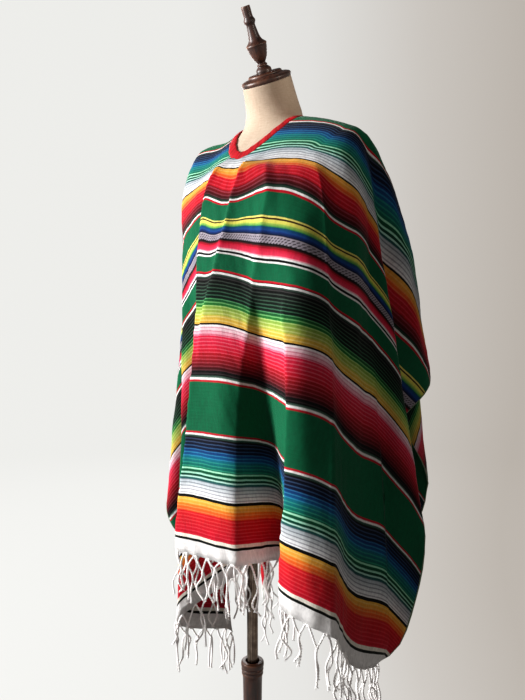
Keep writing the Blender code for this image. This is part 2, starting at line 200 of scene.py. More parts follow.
# pressed creases: flat points (across, along), height, width on the wearer's right and left of it
creases = {
    "neck pleat": (((0.078, 0.12), (0.074, 0.201), (0.059, 0.279), (0.026, 0.372), (-0.012, 0.450),
                    (-0.051, 0.560)), 0.0130, 0.0055, 0.026),
    "right pleat edge": (((-0.018, 0.12), (-0.019, 0.294), (-0.031, 0.409), (-0.066, 0.596), (-0.112, 0.745),
                          (-0.142, 0.870)), 0.0130, 0.0060, 0.024),
    "main crest": (((0.125, 0.13), (0.150, 0.21), (0.148, 0.31), (0.124, 0.379), (0.100, 0.449),
                    (0.068, 0.529), (0.050, 0.596), (0.034, 0.675), (0.020, 0.755), (0.005, 0.870)),
                   0.0170, 0.060, 0.040),
    "left pleat edge": (((0.200, 0.374), (0.229, 0.456), (0.250, 0.545), (0.280, 0.698), (0.290, 0.870)),
                        0.0180, 0.0060, 0.060),
    "chest crease": (((0.196, 0.111), (0.229, 0.228), (0.262, 0.372), (0.292, 0.491), (0.320, 0.588),
                      (0.350, 0.730), (0.385, 0.870)), 0.0150, 0.045, 0.028),
    "corner crease": (((0.461, 0.500), (0.500, 0.600), (0.550, 0.698), (0.575, 0.800)), 0.0040, 0.024, 0.030),
}
weaving = {
    "width": 1.32, "length": 1.74, "wall": 0.0018,
    "slitShift": -0.020,  # how far the slit's middle is from the cloth's middle
    # head hole: half axes sideways, forwards and backwards, and the power that makes its point in front
    "hole": (0.073, 0.100, 0.084), "holePoint": 1.25,
    "leave": (0.185, 0.130, 0.140),  # the same half axes where the cloth leaves the shoulders
    "rightShoulder": 0.91,  # width of the wearer's right shoulder / width of the left one
    # mesh columns to a fold line in front and elsewhere, how many lines are in front on each side, mesh rows
    "frontColumns": 34, "otherColumns": 9, "frontFolds": 5,
    "yokeRings": 10, "hangRings": 66, "rowPower": 1.12,
    # ripples: wave length across and along, height; then draws of each, their turn and their stretch
    "softFolds": ((0.16, 0.9, 0.0022), (0.075, 0.5, 0.0012)),
    "puckers": ((0.030, 0.11, 0.00045), (0.018, 0.05, 0.00022)),
    "waveDraws": 3, "waveTurn": (-0.35, 0.35), "waveStretch": (0.75, 1.35),
    # hem waves: height, length and phase; then where along the cloth they start and over how long they grow
    "hemWaves": ((0.0012, 0.043, 0), (0.0010, 0.027, 1)), "hemWavesFrom": (0.80, 0.07),
    "freeFrom": 0.15,  # share of the hanging length below which folds are free
    "standingFrom": (0.08, 0.62),  # where the smaller folds start, and over how long they grow
    "creaseFade": (0.05, 0.12), "creaseRound": 0.0015,  # fades at a crease's ends, rounding of its cusp
    # the lower corner in front curls back: where the curl starts on the hem and on the selvedge, its radius,
    # and how far from it the cloth is that the curl is fitted to
    "curl": {"hemAt": 0.53, "edgeAt": 0.770, "radius": 0.080, "fitFrom": -0.04},
}
# the cloth has slid a little round the neck, so its stripes lie turned on the wearer's left chest;
# a drop is its depth, where along the cloth it is deepest, and how long it is
slide = {
    "turn": 0.26, "turnRight": 0.15, "along": 0.11, "alongWidth": 0.12, "across": 0.17, "acrossWidth": 0.06,
    "pleatDrop": (0.022, 0.21, 0.085), "pleatSag": (0.0075, 0.25, 0.14), "edgeDrop": (0.015, 0.20, 0.13),
    "pleatReach": (0.045, 0.040), "edgeSoftness": 0.0012,
}
# the shoulders' top line and arch, slope and rounding in front and behind, and the right side's hollow
shoulders = {"y": 0.060, "z": 1.420, "curve": 0.42, "front": (1.30, 0.050), "back": (1.00, 0.070),
             "rightDip": (0.016, -0.100, 0.045), "slopeStep": 1e-4}


def ripple(across, along, seed, waves):
    # sum of sine waves over the flat cloth, each drawn a few times with its own turn, phase and stretch
    source = np.random.default_rng(seed)
    total = np.zeros_like(across)
    for lengthAcross, lengthAlong, height in waves:
        for _ in range(weaving["waveDraws"]):
            turn = source.uniform(*weaving["waveTurn"])
            phase = source.uniform(0, 2 * pi)
            stretch = source.uniform(*weaving["waveStretch"])
            way = across / (lengthAcross * stretch) + along / lengthAlong * (1 if turn > 0 else -1)
            wave = np.sin(2 * pi * (way + turn * along / lengthAcross) + phase)
            total = total + height / weaving["waveDraws"] * wave
    return total


def falling(forward):
    # fall of the shoulders away from their top line: a rounded slope, steeper in front
    slope, rounding = (np.where(forward > 0, a, b) for a, b in zip(shoulders["front"], shoulders["back"]))
    return np.sqrt((slope * forward) ** 2 + rounding ** 2) - rounding


def shoulderHeight(x, forward):
    # a shallow arch from shoulder to shoulder, with a soft hollow beside the neck on the wearer's right
    depth, middle, width = shoulders["rightDip"]
    dip = depth * np.exp(-((x - middle) / width) ** 2)
    return shoulders["z"] - x * x / (2 * shoulders["curve"]) - falling(forward) - dip


def oval(angle, axes):
    # sine and cosine of the angle times the half axes, with one half axis in front and one behind
    side, front, back = axes
    return side * np.sin(angle), np.where(np.cos(angle) > 0, front, back) * np.cos(angle)


def leaveOval(angle):
    # where the cloth leaves the shoulders, a little nearer to the neck on the wearer's right
    side, forward = oval(angle, weaving["leave"])
    return np.where(side < 0, side * weaving["rightShoulder"], side), forward


def headHole(angle):
    # an oval that comes to a blunt point in front: sine and cosine raised to a power there
    power = np.where(np.cos(angle) > 0, weaving["holePoint"], 1.0)
    side, front, back = weaving["hole"]
    across = np.sign(np.sin(angle)) * np.abs(np.sin(angle)) ** power
    forward = np.sign(np.cos(angle)) * np.abs(np.cos(angle)) ** power
    return side * across, np.where(forward > 0, front, back) * forward


def yokePoint(x, forward):
    # a point of the shoulders: its place in plan and the height there
    return np.stack([x, shoulders["y"] - forward, shoulderHeight(x, forward)], axis=-1)


def flatOfYoke(x, forward, steps=24):
    # flat place of a point on the shoulders: its plan place stretched to its distance over them
    share = np.linspace(0, 1, steps).reshape((-1,) + (1,) * np.ndim(x))
    path = yokePoint(share * x, share * forward)
    travelled = np.linalg.norm(np.diff(path, axis=0), axis=-1).sum(axis=0)
    scale = travelled / np.maximum(np.hypot(x, forward), 1e-9)
    return x * scale - weaving["slitShift"], forward * scale


def columnCounts():
    # mesh columns from each fold line to the next: fine in front, where the narrow pleats are
    fine, coarse, front = (weaving[name] for name in ("frontColumns", "otherColumns", "frontFolds"))
    return np.array([fine if k < front or k >= len(folds) - front else coarse for k in range(len(folds))])


def columnPlaces():
    # each mesh column's fold line plus its share of the way to the next one
    return np.concatenate([k + np.arange(count) / count for k, count in enumerate(columnCounts())])


def columnsBetween(start, end):
    # mesh columns from one fold line round the garment to another one
    starts = np.concatenate([[0], np.cumsum(columnCounts())])
    names = foldColumn("name")
    first, last = starts[names.index(start)], starts[names.index(end)]
    if last < first:
        last += starts[-1]
    return np.arange(first, last + 1) % starts[-1]


def betweenRows(values, place):
    # smooth closed curve through the fold table's values (Catmull-Rom)
    values = np.asarray(values, float)
    count, low = len(values), np.floor(place).astype(int)
    part = place - low
    before, start, end, after = (values[(low + k) % count] for k in (-1, 0, 1, 2))
    bend = (2 * before - 5 * start + 4 * end - after) * part ** 2
    twist = (3 * start - before - 3 * end + after) * part ** 3
    return 0.5 * (2 * start + (end - before) * part + bend + twist)


def straightRows(values, place):
    # the fold table's values joined by straight lines
    values = np.asarray(values, float)
    low = np.floor(place).astype(int)
    part = place - low
    return values[low % len(values)] * (1 - part) + values[(low + 1) % len(values)] * part


def foldColumn(name):
    # one column of the fold table
    return [row[foldColumns.index(name)] for row in folds]


def leaveAngles(place):
    # directions of the fold lines, which go on growing round the garment
    angles = np.radians(foldColumn("leave"))
    count = len(angles)
    index = np.arange(-1, count + 2)
    return np.interp(place, index, angles[index % count] + 2 * pi * (index // count))


def clothColumns(place):
    # everything about the fold lines at the given places round the garment
    angle = leaveAngles(place)
    side, forward = leaveOval(angle)
    leaveFlat = np.stack(flatOfYoke(side, forward), axis=-1)
    endFlat = np.stack([straightRows(foldColumn(name), place) for name in ("across", "along")], axis=-1)
    ease = betweenRows(foldColumn("ease"), place)
    return {
        "angle": angle, "hole": headHole(angle), "leave": (side, forward),
        "leaveFlat": leaveFlat, "endFlat": endFlat,
        "length": np.linalg.norm(endFlat - leaveFlat, axis=-1) * ease,
        "end": np.stack([betweenRows(foldColumn(name), place) for name in ("endX", "endY")], axis=-1),
        "rounding": betweenRows(foldColumn("rounding"), place),
    }


def hanging(columns, shares, steps=80):
    # each fold line keeps its length: it leaves the shoulder along it, rounds over exponentially and
    # drifts to its end in plan, and what is left of each step's length is its fall
    side, forward = columns["leave"]
    angle, length, rounding = columns["angle"], columns["length"], columns["rounding"]
    start = yokePoint(side, forward)
    outward = np.stack([np.sin(angle), -np.cos(angle)], axis=-1)
    reach = shoulders["slopeStep"]
    nextHeight = shoulderHeight(side + reach * np.sin(angle), forward + reach * np.cos(angle))
    slope = (start[:, 2] - nextHeight) / reach
    first = outward * (1 / np.sqrt(1 + slope ** 2))[:, None]
    travelled = np.linspace(0, 1, steps)[:, None] * length
    left = np.exp(-travelled / rounding)
    rounded = rounding * (1 - left)
    drift = columns["end"] - start[:, :2] - first * rounded[-1][:, None]
    drift = drift / (length - rounded[-1])[:, None]
    plan = start[:, :2] + rounded[..., None] * (first - drift) + travelled[..., None] * drift
    speed = np.linalg.norm(drift + (first - drift) * left[..., None], axis=-1)
    fall = np.sqrt(np.clip(1 - speed ** 2, 0.01, 1))
    fallen = np.cumsum(0.5 * (fall[1:] + fall[:-1]) * length / (steps - 1), axis=0)
    height = start[:, 2] - np.vstack([np.zeros_like(length), fallen])
    path = np.concatenate([plan, height[..., None]], axis=-1)
    place = np.asarray(shares) * (steps - 1)
    low = np.minimum(place.astype(int), steps - 2)
    part = (place - low)[:, None, None]
    return path[low] * (1 - part) + path[low + 1] * part


def yokeRings(inner, outer, shares):
    # rings between two ovals: the inner one plus a share of the way to the outer one
    part = np.asarray(shares)[:, None]
    return [inside + (outside - inside) * part for inside, outside in zip(inner, outer)]


def yokeNormals(points):
    # upward normals of the shoulders, from their height a small step to each side
    reach = shoulders["slopeStep"]
    x, forward = points[..., 0], shoulders["y"] - points[..., 1]
    fallX = (shoulderHeight(x + reach, forward) - shoulderHeight(x - reach, forward)) / (2 * reach)
    fallY = -(shoulderHeight(x, forward + reach) - shoulderHeight(x, forward - reach)) / (2 * reach)
    return unit(np.stack([-fallX, -fallY, np.ones_like(x)], axis=-1))


def gridNormals(points):
    # outward normals of a closed ring surface: down the cloth crossed with round it
    around = np.roll(points, -1, axis=1) - np.roll(points, 1, axis=1)
    return unit(np.cross(np.gradient(points, axis=0), around))


def creaseHeight(flat, line, height, rightWidth, leftWidth):
    # a cusp along a line in the flat cloth: height falls exponentially on both sides, softly at both ends
    points = np.array(line)
    along = flat[..., 1]
    aside = flat[..., 0] - np.interp(along, points[:, 1], points[:, 0])
    width = np.where(aside < 0, rightWidth, leftWidth)
    start, end = points[0, 1], points[-1, 1]
    fadeIn, fadeOut = weaving["creaseFade"]
    fade = np.clip((along - start) / fadeIn, 0, 1)
    if end < weaving["length"] / 2:
        fade = fade * np.clip((end - along) / fadeOut, 0, 1)
    fade = fade * fade * (3 - 2 * fade)
    return height * fade * np.exp(-np.sqrt(aside ** 2 + weaving["creaseRound"] ** 2) / width)


def creaseAt(name, along):
    # where a crease lies across the cloth at each place along it
    points = np.array(creases[name][0])
    return np.interp(along, points[:, 1], points[:, 0])


def stripeShift(across, along):
    # how far the stripes lie off their level: turned on the chest, and drawn up into the two neck pleats,
    # each as a bell curve along the cloth times its reach across it
    aside = np.abs(across)
    turned = np.where(across > 0, slide["turn"], slide["turnRight"]) * aside
    turned = turned * np.exp(-((along - slide["along"]) / slide["alongWidth"]) ** 2)
    turned = turned * np.exp(-(np.maximum(aside - slide["across"], 0) / slide["acrossWidth"]) ** 2)
    left, right = creaseAt("neck pleat", along), creaseAt("right pleat edge", along)
    drop, sag, edge = (depth * np.exp(-((along - middle) / width) ** 2)
                       for depth, middle, width in (slide["pleatDrop"], slide["pleatSag"], slide["edgeDrop"]))
    near = np.exp(-((across - left) / np.where(across < left, *slide["pleatReach"])) ** 2)
    between = np.clip((across - right) / np.maximum(left - right, 0.01), 0, 1)
    before = 1 / (1 + np.exp(np.clip((across - right) / slide["edgeSoftness"], -40, 40)))
    front = along > 0
    return turned - (drop * near * (1 - before) + sag * np.sin(pi * between) ** 2 + edge * before) * front


def curledCorner(points, across, along):
    # the corner past a slanted line rolls back round a cylinder: the sine of the turn goes along the cloth,
    # and one less its cosine goes in depth
    halfWidth, halfLength, curl = weaving["width"] / 2, weaving["length"] / 2, weaving["curl"]
    way = unit(np.array((halfLength - curl["edgeAt"], halfWidth - curl["hemAt"])))
    past = (across - curl["hemAt"]) * way[0] + (along - halfLength) * way[1]
    near = past > curl["fitFrom"]
    sheet = np.stack([across[near], along[near], np.ones(near.sum())], axis=-1)
    perAcross, perAlong, _ = np.linalg.lstsq(sheet, points[near], rcond=None)[0]
    onward = perAcross * way[0] + perAlong * way[1]
    outward = unit(np.cross(perAlong, perAcross))
    radius = curl["radius"]
    past = np.maximum(past, 0)[..., None]
    turn = past / radius
    return points + onward * (radius * np.sin(turn) - past) - outward * radius * (1 - np.cos(turn))


def clothSurface():
    # the yoke's rings, then the hanging fold lines, lifted along their normals by folds, ripples and creases
    places = columnPlaces()
    columns = clothColumns(places)
    yokeShares = np.linspace(0, 1, weaving["yokeRings"] + 1)
    hangShares = np.linspace(0, 1, weaving["hangRings"] + 1)[1:] ** weaving["rowPower"]
    side, forward = yokeRings(columns["hole"], columns["leave"], yokeShares)
    upperFlat = np.stack(flatOfYoke(side, forward), axis=-1)
    lowerFlat = columns["leaveFlat"] + hangShares[:, None, None] * (columns["endFlat"] - columns["leaveFlat"])
    points = np.concatenate([yokePoint(side, forward), hanging(columns, hangShares)])
    flat = np.concatenate([upperFlat, lowerFlat])
    reached = np.concatenate([np.zeros(len(yokeShares)), hangShares])[:, None]
    free = np.clip(reached / weaving["freeFrom"], 0, 1)
    across, along = flat[..., 0], flat[..., 1]
    lift = ripple(across, along, 3, weaving["softFolds"]) * free
    lift = lift + ripple(across, along, 5, weaving["puckers"])
    standing = np.array(foldColumn("standing"))[np.floor(places).astype(int)]
    standingStart, standingGrows = weaving["standingFrom"]
    deeper = np.clip((reached - standingStart) / standingGrows, 0, 1)
    lift = lift + standing * np.sin(pi * (places % 1)) ** 2 * deeper * deeper * (3 - 2 * deeper)
    for crease in creases.values():
        lift = lift + creaseHeight(flat, *crease)
    wavesStart, wavesGrow = weaving["hemWavesFrom"]
    hem = sum(height * np.sin(across * 2 * pi / every + phase)
              for height, every, phase in weaving["hemWaves"])
    lift = lift + hem * np.clip((np.abs(along) - wavesStart) / wavesGrow, 0, 1) ** 2
    lift = np.where(free < 1, np.maximum(lift, 0) * (1 - free) + lift * free, lift)
    shown = np.stack([across, along + stripeShift(across, along)], axis=-1)
    points = points + gridNormals(points) * lift[..., None]
    return curledCorner(points, across, along), shown


# the dyes: ground from and to, then fine lines from and to where a band has them
dyes = {
    "green": ("#0C6744",), "red line": ("#C4152B",), "white line": ("#F5F2F0",), "cream line": ("#F3EBDD",),
    "white end": ("#F4F1EF",), "black line": ("#050404",), "soft black line": ("#080606",),
    "end black line": ("#0A100C",), "ground line": ("#0A1A12",), "yellow line": ("#F0E27A",),
    "brown line": ("#3A2410",), "pink line": ("#F4A8B4",), "zigzag": ("#A79EA8",),
    "mint line": ("#A5E6C2",), "light mint line": ("#A9E4C8",), "pale line": ("#B5E2D2",),
    "ash line one": ("#3D5A50", "#16241F"), "ash line two": ("#4A5C52", "#1A221E"),
    "ash line three": ("#2C4238", "#5C7468"), "ash line four": ("#4A6A5C", "#182420"),
    "moss line": ("#12241A", "#3A5546"), "cherry line": ("#8E1024", "#B4142E"),
    "deep green": ("#0B5C3C", "#0A4A32"), "dark green": ("#0A4A34", "#0A3F30"),
    "deep teal": ("#1D5750", "#2E5E60"), "navy": ("#143A7C", "#070B1C"), "crimson": ("#D01A3C", "#EE4464"),
    "narrow yellow": ("#EFE270", "#E2DE66"), "narrow lime": ("#B5D060", "#2F8E50"),
    "narrow blue": ("#0C4C6C", "#1C4C90"), "narrow soot": ("#0A0606", "#0A0606", "#4A2A2A", "#5A1A20"),
    "night": ("#07070C", "#0A1838", "#4A5068", "#33689A"),
    "blue": ("#0E356E", "#105A88", "#3A86B8", "#3298B4"),
    "teal": ("#0C6E80", "#0B6A50", "#2F9A90", "#3DA884"),
    "white ground": ("#B4BEC4", "#FAF8F8", "#4A565E", "#8A8492"),
    "chest amber": ("#ECAE4C", "#EA9638", "#F8CC78", "#F4B060"),
    "chest flame": ("#EC7A28", "#DC3A22", "#F5A05A", "#F08060"),
    "chest scarlet": ("#CC1226", "#B80E22", "#F0505E", "#D8384C"),
    "chest wine": ("#860A16", "#0E0405", "#B8485C", "#5A3A3C"),
    "coal": ("#060505", "#081C12", "#4A4446", "#468060"),
    "fern": ("#0C4A2A", "#2E7A34", "#6AB878", "#9ADC88"),
    "lime": ("#7CA448", "#B8BE58", "#C4E08C", "#DDE492"),
    "yellow": ("#D4B84C", "#E0AC48", "#EAE08C", "#F2D888"),
    "rose ground": ("#FFF6F8", "#F08CA4", "#D88CA4", "#C8304E"),
    "pink": ("#E0284C", "#BE0E28", "#F2788C", "#E65468"),
    "wine": ("#A80C1E", "#180406", "#DC4A5C", "#5E3036"),
    "soot": ("#0C0505", "#060505", "#463034", "#383436"),
    "hem amber": ("#EEB64C", "#EC9C3A", "#F8D47C", "#F4B264"),
    "hem flame": ("#EE7E28", "#E04A22", "#F5A65A", "#EE7A50"),
    "hem scarlet": ("#CE1A22", "#C00C2A", "#E84A48", "#E03A50"),
}
# the bands in their order from the middle of the cloth out to each hem, with their widths in mm
stripes = (
    # over the shoulders
    ("green", 46.5), ("red line", 3.4), ("white line", 3.2), ("ash line one", 3.4), ("night", 22.0),
    ("blue", 14.0), ("teal", 20.0), ("mint line", 2.7), ("deep green", 5.3), ("light mint line", 3.0),
    ("dark green", 4.2), ("pale line", 2.7), ("deep teal", 3.6), ("white ground", 26.5), ("black line", 3.2),
    # the chest, with the patterned grey band between two green ones
    ("chest amber", 10.5), ("chest flame", 9.0), ("chest scarlet", 20.0), ("chest wine", 17.0),
    ("moss line", 4.0), ("white line", 3.1), ("red line", 3.5), ("green", 31.2), ("yellow line", 2.5),
    ("brown line", 2.5), ("narrow yellow", 4.8), ("narrow lime", 5.5), ("narrow blue", 6.0), ("navy", 6.2),
    ("zigzag", 12.0), ("narrow soot", 4.6), ("cherry line", 3.6), ("crimson", 9.6), ("pink line", 2.0),
    ("white line", 3.0), ("soft black line", 3.8), ("white line", 3.0), ("green", 28.5), ("red line", 3.5),
    ("ground line", 1.2), ("white line", 3.6),
    # the waist
    ("ash line two", 4.0), ("coal", 38.5), ("fern", 12.0), ("lime", 17.0), ("yellow", 13.0),
    ("black line", 3.3), ("rose ground", 19.0), ("pink", 30.0), ("wine", 31.0), ("soot", 8.5),
    ("ash line three", 3.9), ("white line", 3.9), ("red line", 3.8), ("green", 88.5), ("red line", 3.6),
    ("white line", 3.5),
    # down to the hem
    ("ash line four", 4.0), ("night", 21.5), ("blue", 14.0), ("teal", 20.4), ("mint line", 2.7),
    ("deep green", 5.3), ("light mint line", 3.0), ("dark green", 4.2), ("pale line", 2.7),
    ("deep teal", 3.9), ("white ground", 28.0), ("black line", 5.5), ("hem amber", 12.0), ("hem flame", 13.0),
    ("hem scarlet", 42.0), ("cream line", 6.0), ("end black line", 4.6), ("white end", 30.0),
)
dye = {
    "bandsToRamp": 16, "softEdge": 0.00025,  # a colour ramp holds 32 stops; how soft a band's edge is
    "fineLines": 0.0062, "lineShare": 0.62,  # spacing of the fine lines in the bands, and their strength
    "wander": 0.0026, "wanderScale": 26.0,  # how far the lines wander off their level, waves to the metre
    "lineEdges": (0.15, 0.75),  # heights of the sine between which a fine line fades in
    # the patterned band: from and to, strokes and what crosses them, how slanted, how strong
    "zigzag": (0.2912, 0.3032), "strokeEvery": 0.0056, "crossEvery": 0.0040, "strokeColour": "#2A2226",
    "strokeSlant": 0.9, "strokeCross": 0.6, "strokeEdges": (0.1, 0.9), "strokeShare": 0.85,
    "warpEvery": 0.0026, "weftEvery": 0.0019,  # drawn a little coarser than the real 1.5 mm
    # waves to the metre of the streaks and patches, their shares, then brightness and roughness they give
    "streaks": (260.0, 70.0, 1.0), "streakShare": 0.55, "patches": 9.0, "patchShare": 0.45,
    "toneEdges": (0.32, 0.68), "worn": (0.56, 0.88), "rough": (0.72, 0.95),
    "ribHeight": 0.5, "lineHeight": 0.5, "fuzzHeight": 1.2,  # shares of the relief
}


def dyedRamps(tree, distance, fineLines):
    # the bands as a chain of colour ramps, sixteen bands to a ramp, chosen by distance from the middle
    edges = np.concatenate([[0], np.cumsum([width / 1000 for _, width in stripes])])
    soft, result = dye["softEdge"], None
    for first in range(0, len(stripes), dye["bandsToRamp"]):
        group = stripes[first:first + dye["bandsToRamp"]]
        low, high = edges[first], edges[first + len(group)]
        stops = []
        for k, (name, _) in enumerate(group, first):
            shades = dyes[name][2:] if fineLines and len(dyes[name]) > 2 else dyes[name][:2]
            stops.append(((edges[k] + soft - low) / (high - low), shades[0]))
            stops.append(((edges[k + 1] - soft - low) / (high - low), shades[-1]))
        share = addNode(tree, "MapRange", {"Value": distance, "From Min": low, "From Max": high})
        shade = addNode(tree, "ValToRGB", {"Fac": share}, stops=stops)
        if result is not None:
            past = ("GREATER_THAN", distance, low)
            shade = addNode(tree, "MixRGB", {"Fac": past, "Color1": result, "Color2": shade})
        result = shade
    return result


def wovenStripes():
    # weft-faced wool and cotton: dense dyed wefts that hide the warp, so fine ribs, fuzz and dye that varies
    finish, tree, shader = newMaterial("sarape weave")
    flat = addNode(tree, "UVMap", uv_map="flat")
    across, along = addNode(tree, "SeparateXYZ", (flat,), output=slice(0, 2))
    wander = addNode(tree, "TexNoise", {"Vector": flat, "Scale": dye["wanderScale"], "Detail": 2.0})
    off = ("SUBTRACT", wander, 0.5)
    level = addNode(tree, "Math", (off, dye["wander"], ("ABSOLUTE", along)), operation="MULTIPLY_ADD")
    # fine lines in the shaded bands: the peaks of a sine along the cloth
    wave = ("SINE", ("MULTIPLY", level, 2 * pi / dye["fineLines"]))
    low, high = dye["lineEdges"]
    lineMask = addNode(tree, "MapRange", {"Value": wave, "From Min": low, "From Max": high},
                       interpolation_type="SMOOTHSTEP")
    ground, lines = dyedRamps(tree, level, False), dyedRamps(tree, level, True)
    lineShare = ("MULTIPLY", lineMask, dye["lineShare"])
    shade = addNode(tree, "MixRGB", {"Fac": lineShare, "Color1": ground, "Color2": lines})
    # the patterned grey band: short slanted strokes between its two edges
    slant = ("MULTIPLY_ADD", level, dye["strokeSlant"], across)
    strokes = ("SINE", ("MULTIPLY", slant, 2 * pi / dye["strokeEvery"]))
    cross = ("SINE", ("MULTIPLY", level, 2 * pi / dye["crossEvery"]))
    pattern = ("ADD", strokes, ("MULTIPLY", cross, dye["strokeCross"]))
    low, high = dye["strokeEdges"]
    strokeMask = addNode(tree, "MapRange", {"Value": pattern, "From Min": low, "From Max": high})
    bandStart, bandEnd = dye["zigzag"]
    inBand = ("MULTIPLY", ("GREATER_THAN", level, bandStart), ("LESS_THAN", level, bandEnd))
    stroke = ("MULTIPLY", ("MULTIPLY", strokeMask, inBand), dye["strokeShare"])
    shade = addNode(tree, "MixRGB", {"Fac": stroke, "Color1": shade, "Color2": colour(dye["strokeColour"])})
    # yarn to yarn differences: streaks along the warp, and slow patches of dye
    stretched = addNode(tree, "Mapping", {"Vector": flat, "Scale": dye["streaks"]})
    streak = addNode(tree, "TexNoise", {"Vector": stretched, "Scale": 1.0, "Detail": 3.0, "Roughness": 0.6})
    patch = addNode(tree, "TexNoise", {"Vector": flat, "Scale": dye["patches"], "Detail": 4.0})
    tone = ("ADD", ("MULTIPLY", streak, dye["streakShare"]), ("MULTIPLY", patch, dye["patchShare"]))
    (low, high), (dull, fresh) = dye["toneEdges"], dye["worn"]
    worn = addNode(tree, "MapRange", {"Value": tone, "From Min": low, "From Max": high,
                                      "To Min": dull, "To Max": fresh})
    smooth, rough = dye["rough"]
    # relief: ribs over the warps crossed with the single wefts, the raised fine lines and the fuzz
    rib = ("SINE", ("MULTIPLY", across, 2 * pi / dye["warpEvery"]))
    weft = ("SINE", ("MULTIPLY", level, 2 * pi / dye["weftEvery"]))
    raised = ("MULTIPLY_ADD", lineMask, dye["lineHeight"], ("MULTIPLY", streak, dye["fuzzHeight"]))
    relief = ("ADD", ("MULTIPLY", ("MULTIPLY", rib, weft), dye["ribHeight"]), raised)
    setInputs(tree, shader, {
        "Base Color": addNode(tree, "HueSaturation", {"Color": shade, "Value": worn}),
        "Roughness": addNode(tree, "MapRange", {"Value": streak, "To Min": smooth, "To Max": rough}),
        "Specular IOR Level": 0.12, "Sheen Weight": 0.12, "Sheen Roughness": 0.30,
        "Normal": addNode(tree, "Bump", {"Height": relief, "Strength": 0.45, "Distance": 0.0006}),
    })
    return finish


def twistedYarn(name, light, shadow, twistEvery):
    # two-ply cotton, soft and bright: slanted plies and loose fibres, with painted shade where the plies
    # meet;
    # the plies are the sine of the turn round the yarn plus the way along it
    finish, tree, shader = newMaterial(name)
    flat = addNode(tree, "UVMap", uv_map="flat")
    around, along = addNode(tree, "SeparateXYZ", (flat,), output=slice(0, 2))
    turn = ("ADD", ("MULTIPLY", around, 2 * 2 * pi), ("MULTIPLY", along, 2 * pi / twistEvery))
    ply = ("MULTIPLY_ADD", ("SINE", turn), 0.5, 0.5)
    place = addNode(tree, "TexCoord", output="Object")
    fibres = addNode(tree, "TexNoise", {"Vector": place, "Scale": 900.0, "Detail": 2.0})
    # painted shade: the shadow colour goes where the plies meet, the light colour on their crowns; the fibres
    # add random tone
    tone = addNode(tree, "Math", (fibres, 0.5, ("MULTIPLY", ply, 0.6)), operation="MULTIPLY_ADD")
    setInputs(tree, shader, {
        "Base Color": addNode(tree, "ValToRGB", (tone,), stops=((0.05, shadow), (0.55, light), (1.0, light))),
        "Roughness": 0.9, "Specular IOR Level": 0.2, "Sheen Weight": 0.25,
        "Normal": addNode(tree, "Bump", {"Height": tone, "Strength": 0.5, "Distance": 0.0005}),
    })
    return finish


def redTape():
    # folded bias tape of close twill, 1.2 mm to a rib: a soft shine, small wrinkles where it is eased round
    finish, tree, shader = newMaterial("red bias tape")
    flat = addNode(tree, "UVMap", uv_map="flat")
    across, along = addNode(tree, "SeparateXYZ", (flat,), output=slice(0, 2))
    twill = ("SINE", ("MULTIPLY", ("ADD", across, along), 2 * pi / 0.0012))
    stretched = addNode(tree, "Mapping", {"Vector": flat, "Scale": (160.0, 40.0, 1.0)})
    wrinkle = addNode(tree, "TexNoise", {"Vector": stretched, "Scale": 1.0, "Detail": 3.0})
    tone = addNode(tree, "Math", (twill, 0.06, wrinkle), operation="MULTIPLY_ADD")
    reds = ((0.30, "#70030E"), (0.52, "#A80718"), (0.72, "#BC1022"))
    setInputs(tree, shader, {
        "Base Color": addNode(tree, "ValToRGB", (tone,), stops=reds),
        "Roughness": ("MULTIPLY_ADD", wrinkle, 0.3, 0.45), "Specular IOR Level": 0.3,
        "Normal": addNode(tree, "Bump", {"Height": tone, "Strength": 0.5, "Distance": 0.0008}),
    })
    return finish


def linenCover():
    # stretched plain-weave linen, 1.3 mm to a yarn: slubs along both yarn directions over a cream ground
    finish, tree, shader = newMaterial("cream linen")
    flat = addNode(tree, "UVMap", uv_map="flat")
    across, along = addNode(tree, "SeparateXYZ", (flat,), output=slice(0, 2))
    warp, weft = (("SINE", ("MULTIPLY", way, 2 * pi / 0.0013)) for way in (across, along))
    slubs = []
    for scale in ((900.0, 40.0, 1.0), (40.0, 900.0, 1.0)):
        place = addNode(tree, "Mapping", {"Vector": flat, "Scale": scale})
        slubs.append(addNode(tree, "TexNoise", {"Vector": place, "Scale": 1.0, "Detail": 2.0}))
    patch = addNode(tree, "TexNoise", {"Vector": flat, "Scale": 12.0, "Detail": 3.0})
    tone = addNode(tree, "Math", (("ADD", *slubs), 0.35, ("MULTIPLY", patch, 0.3)), operation="MULTIPLY_ADD")
    creams = ((0.30, "#9E8C7A"), (0.50, "#B6A28E"), (0.70, "#C6B6A3"))
    relief = ("MULTIPLY_ADD", ("MULTIPLY", warp, weft), 0.3, tone)
    setInputs(tree, shader, {
        "Base Color": addNode(tree, "ValToRGB", (tone,), stops=creams),
        "Roughness": 0.85, "Specular IOR Level": 0.2, "Sheen Weight": 0.1,
        "Normal": addNode(tree, "Bump", {"Height": relief, "Strength": 0.3, "Distance": 0.0004}),
    })
    return finish


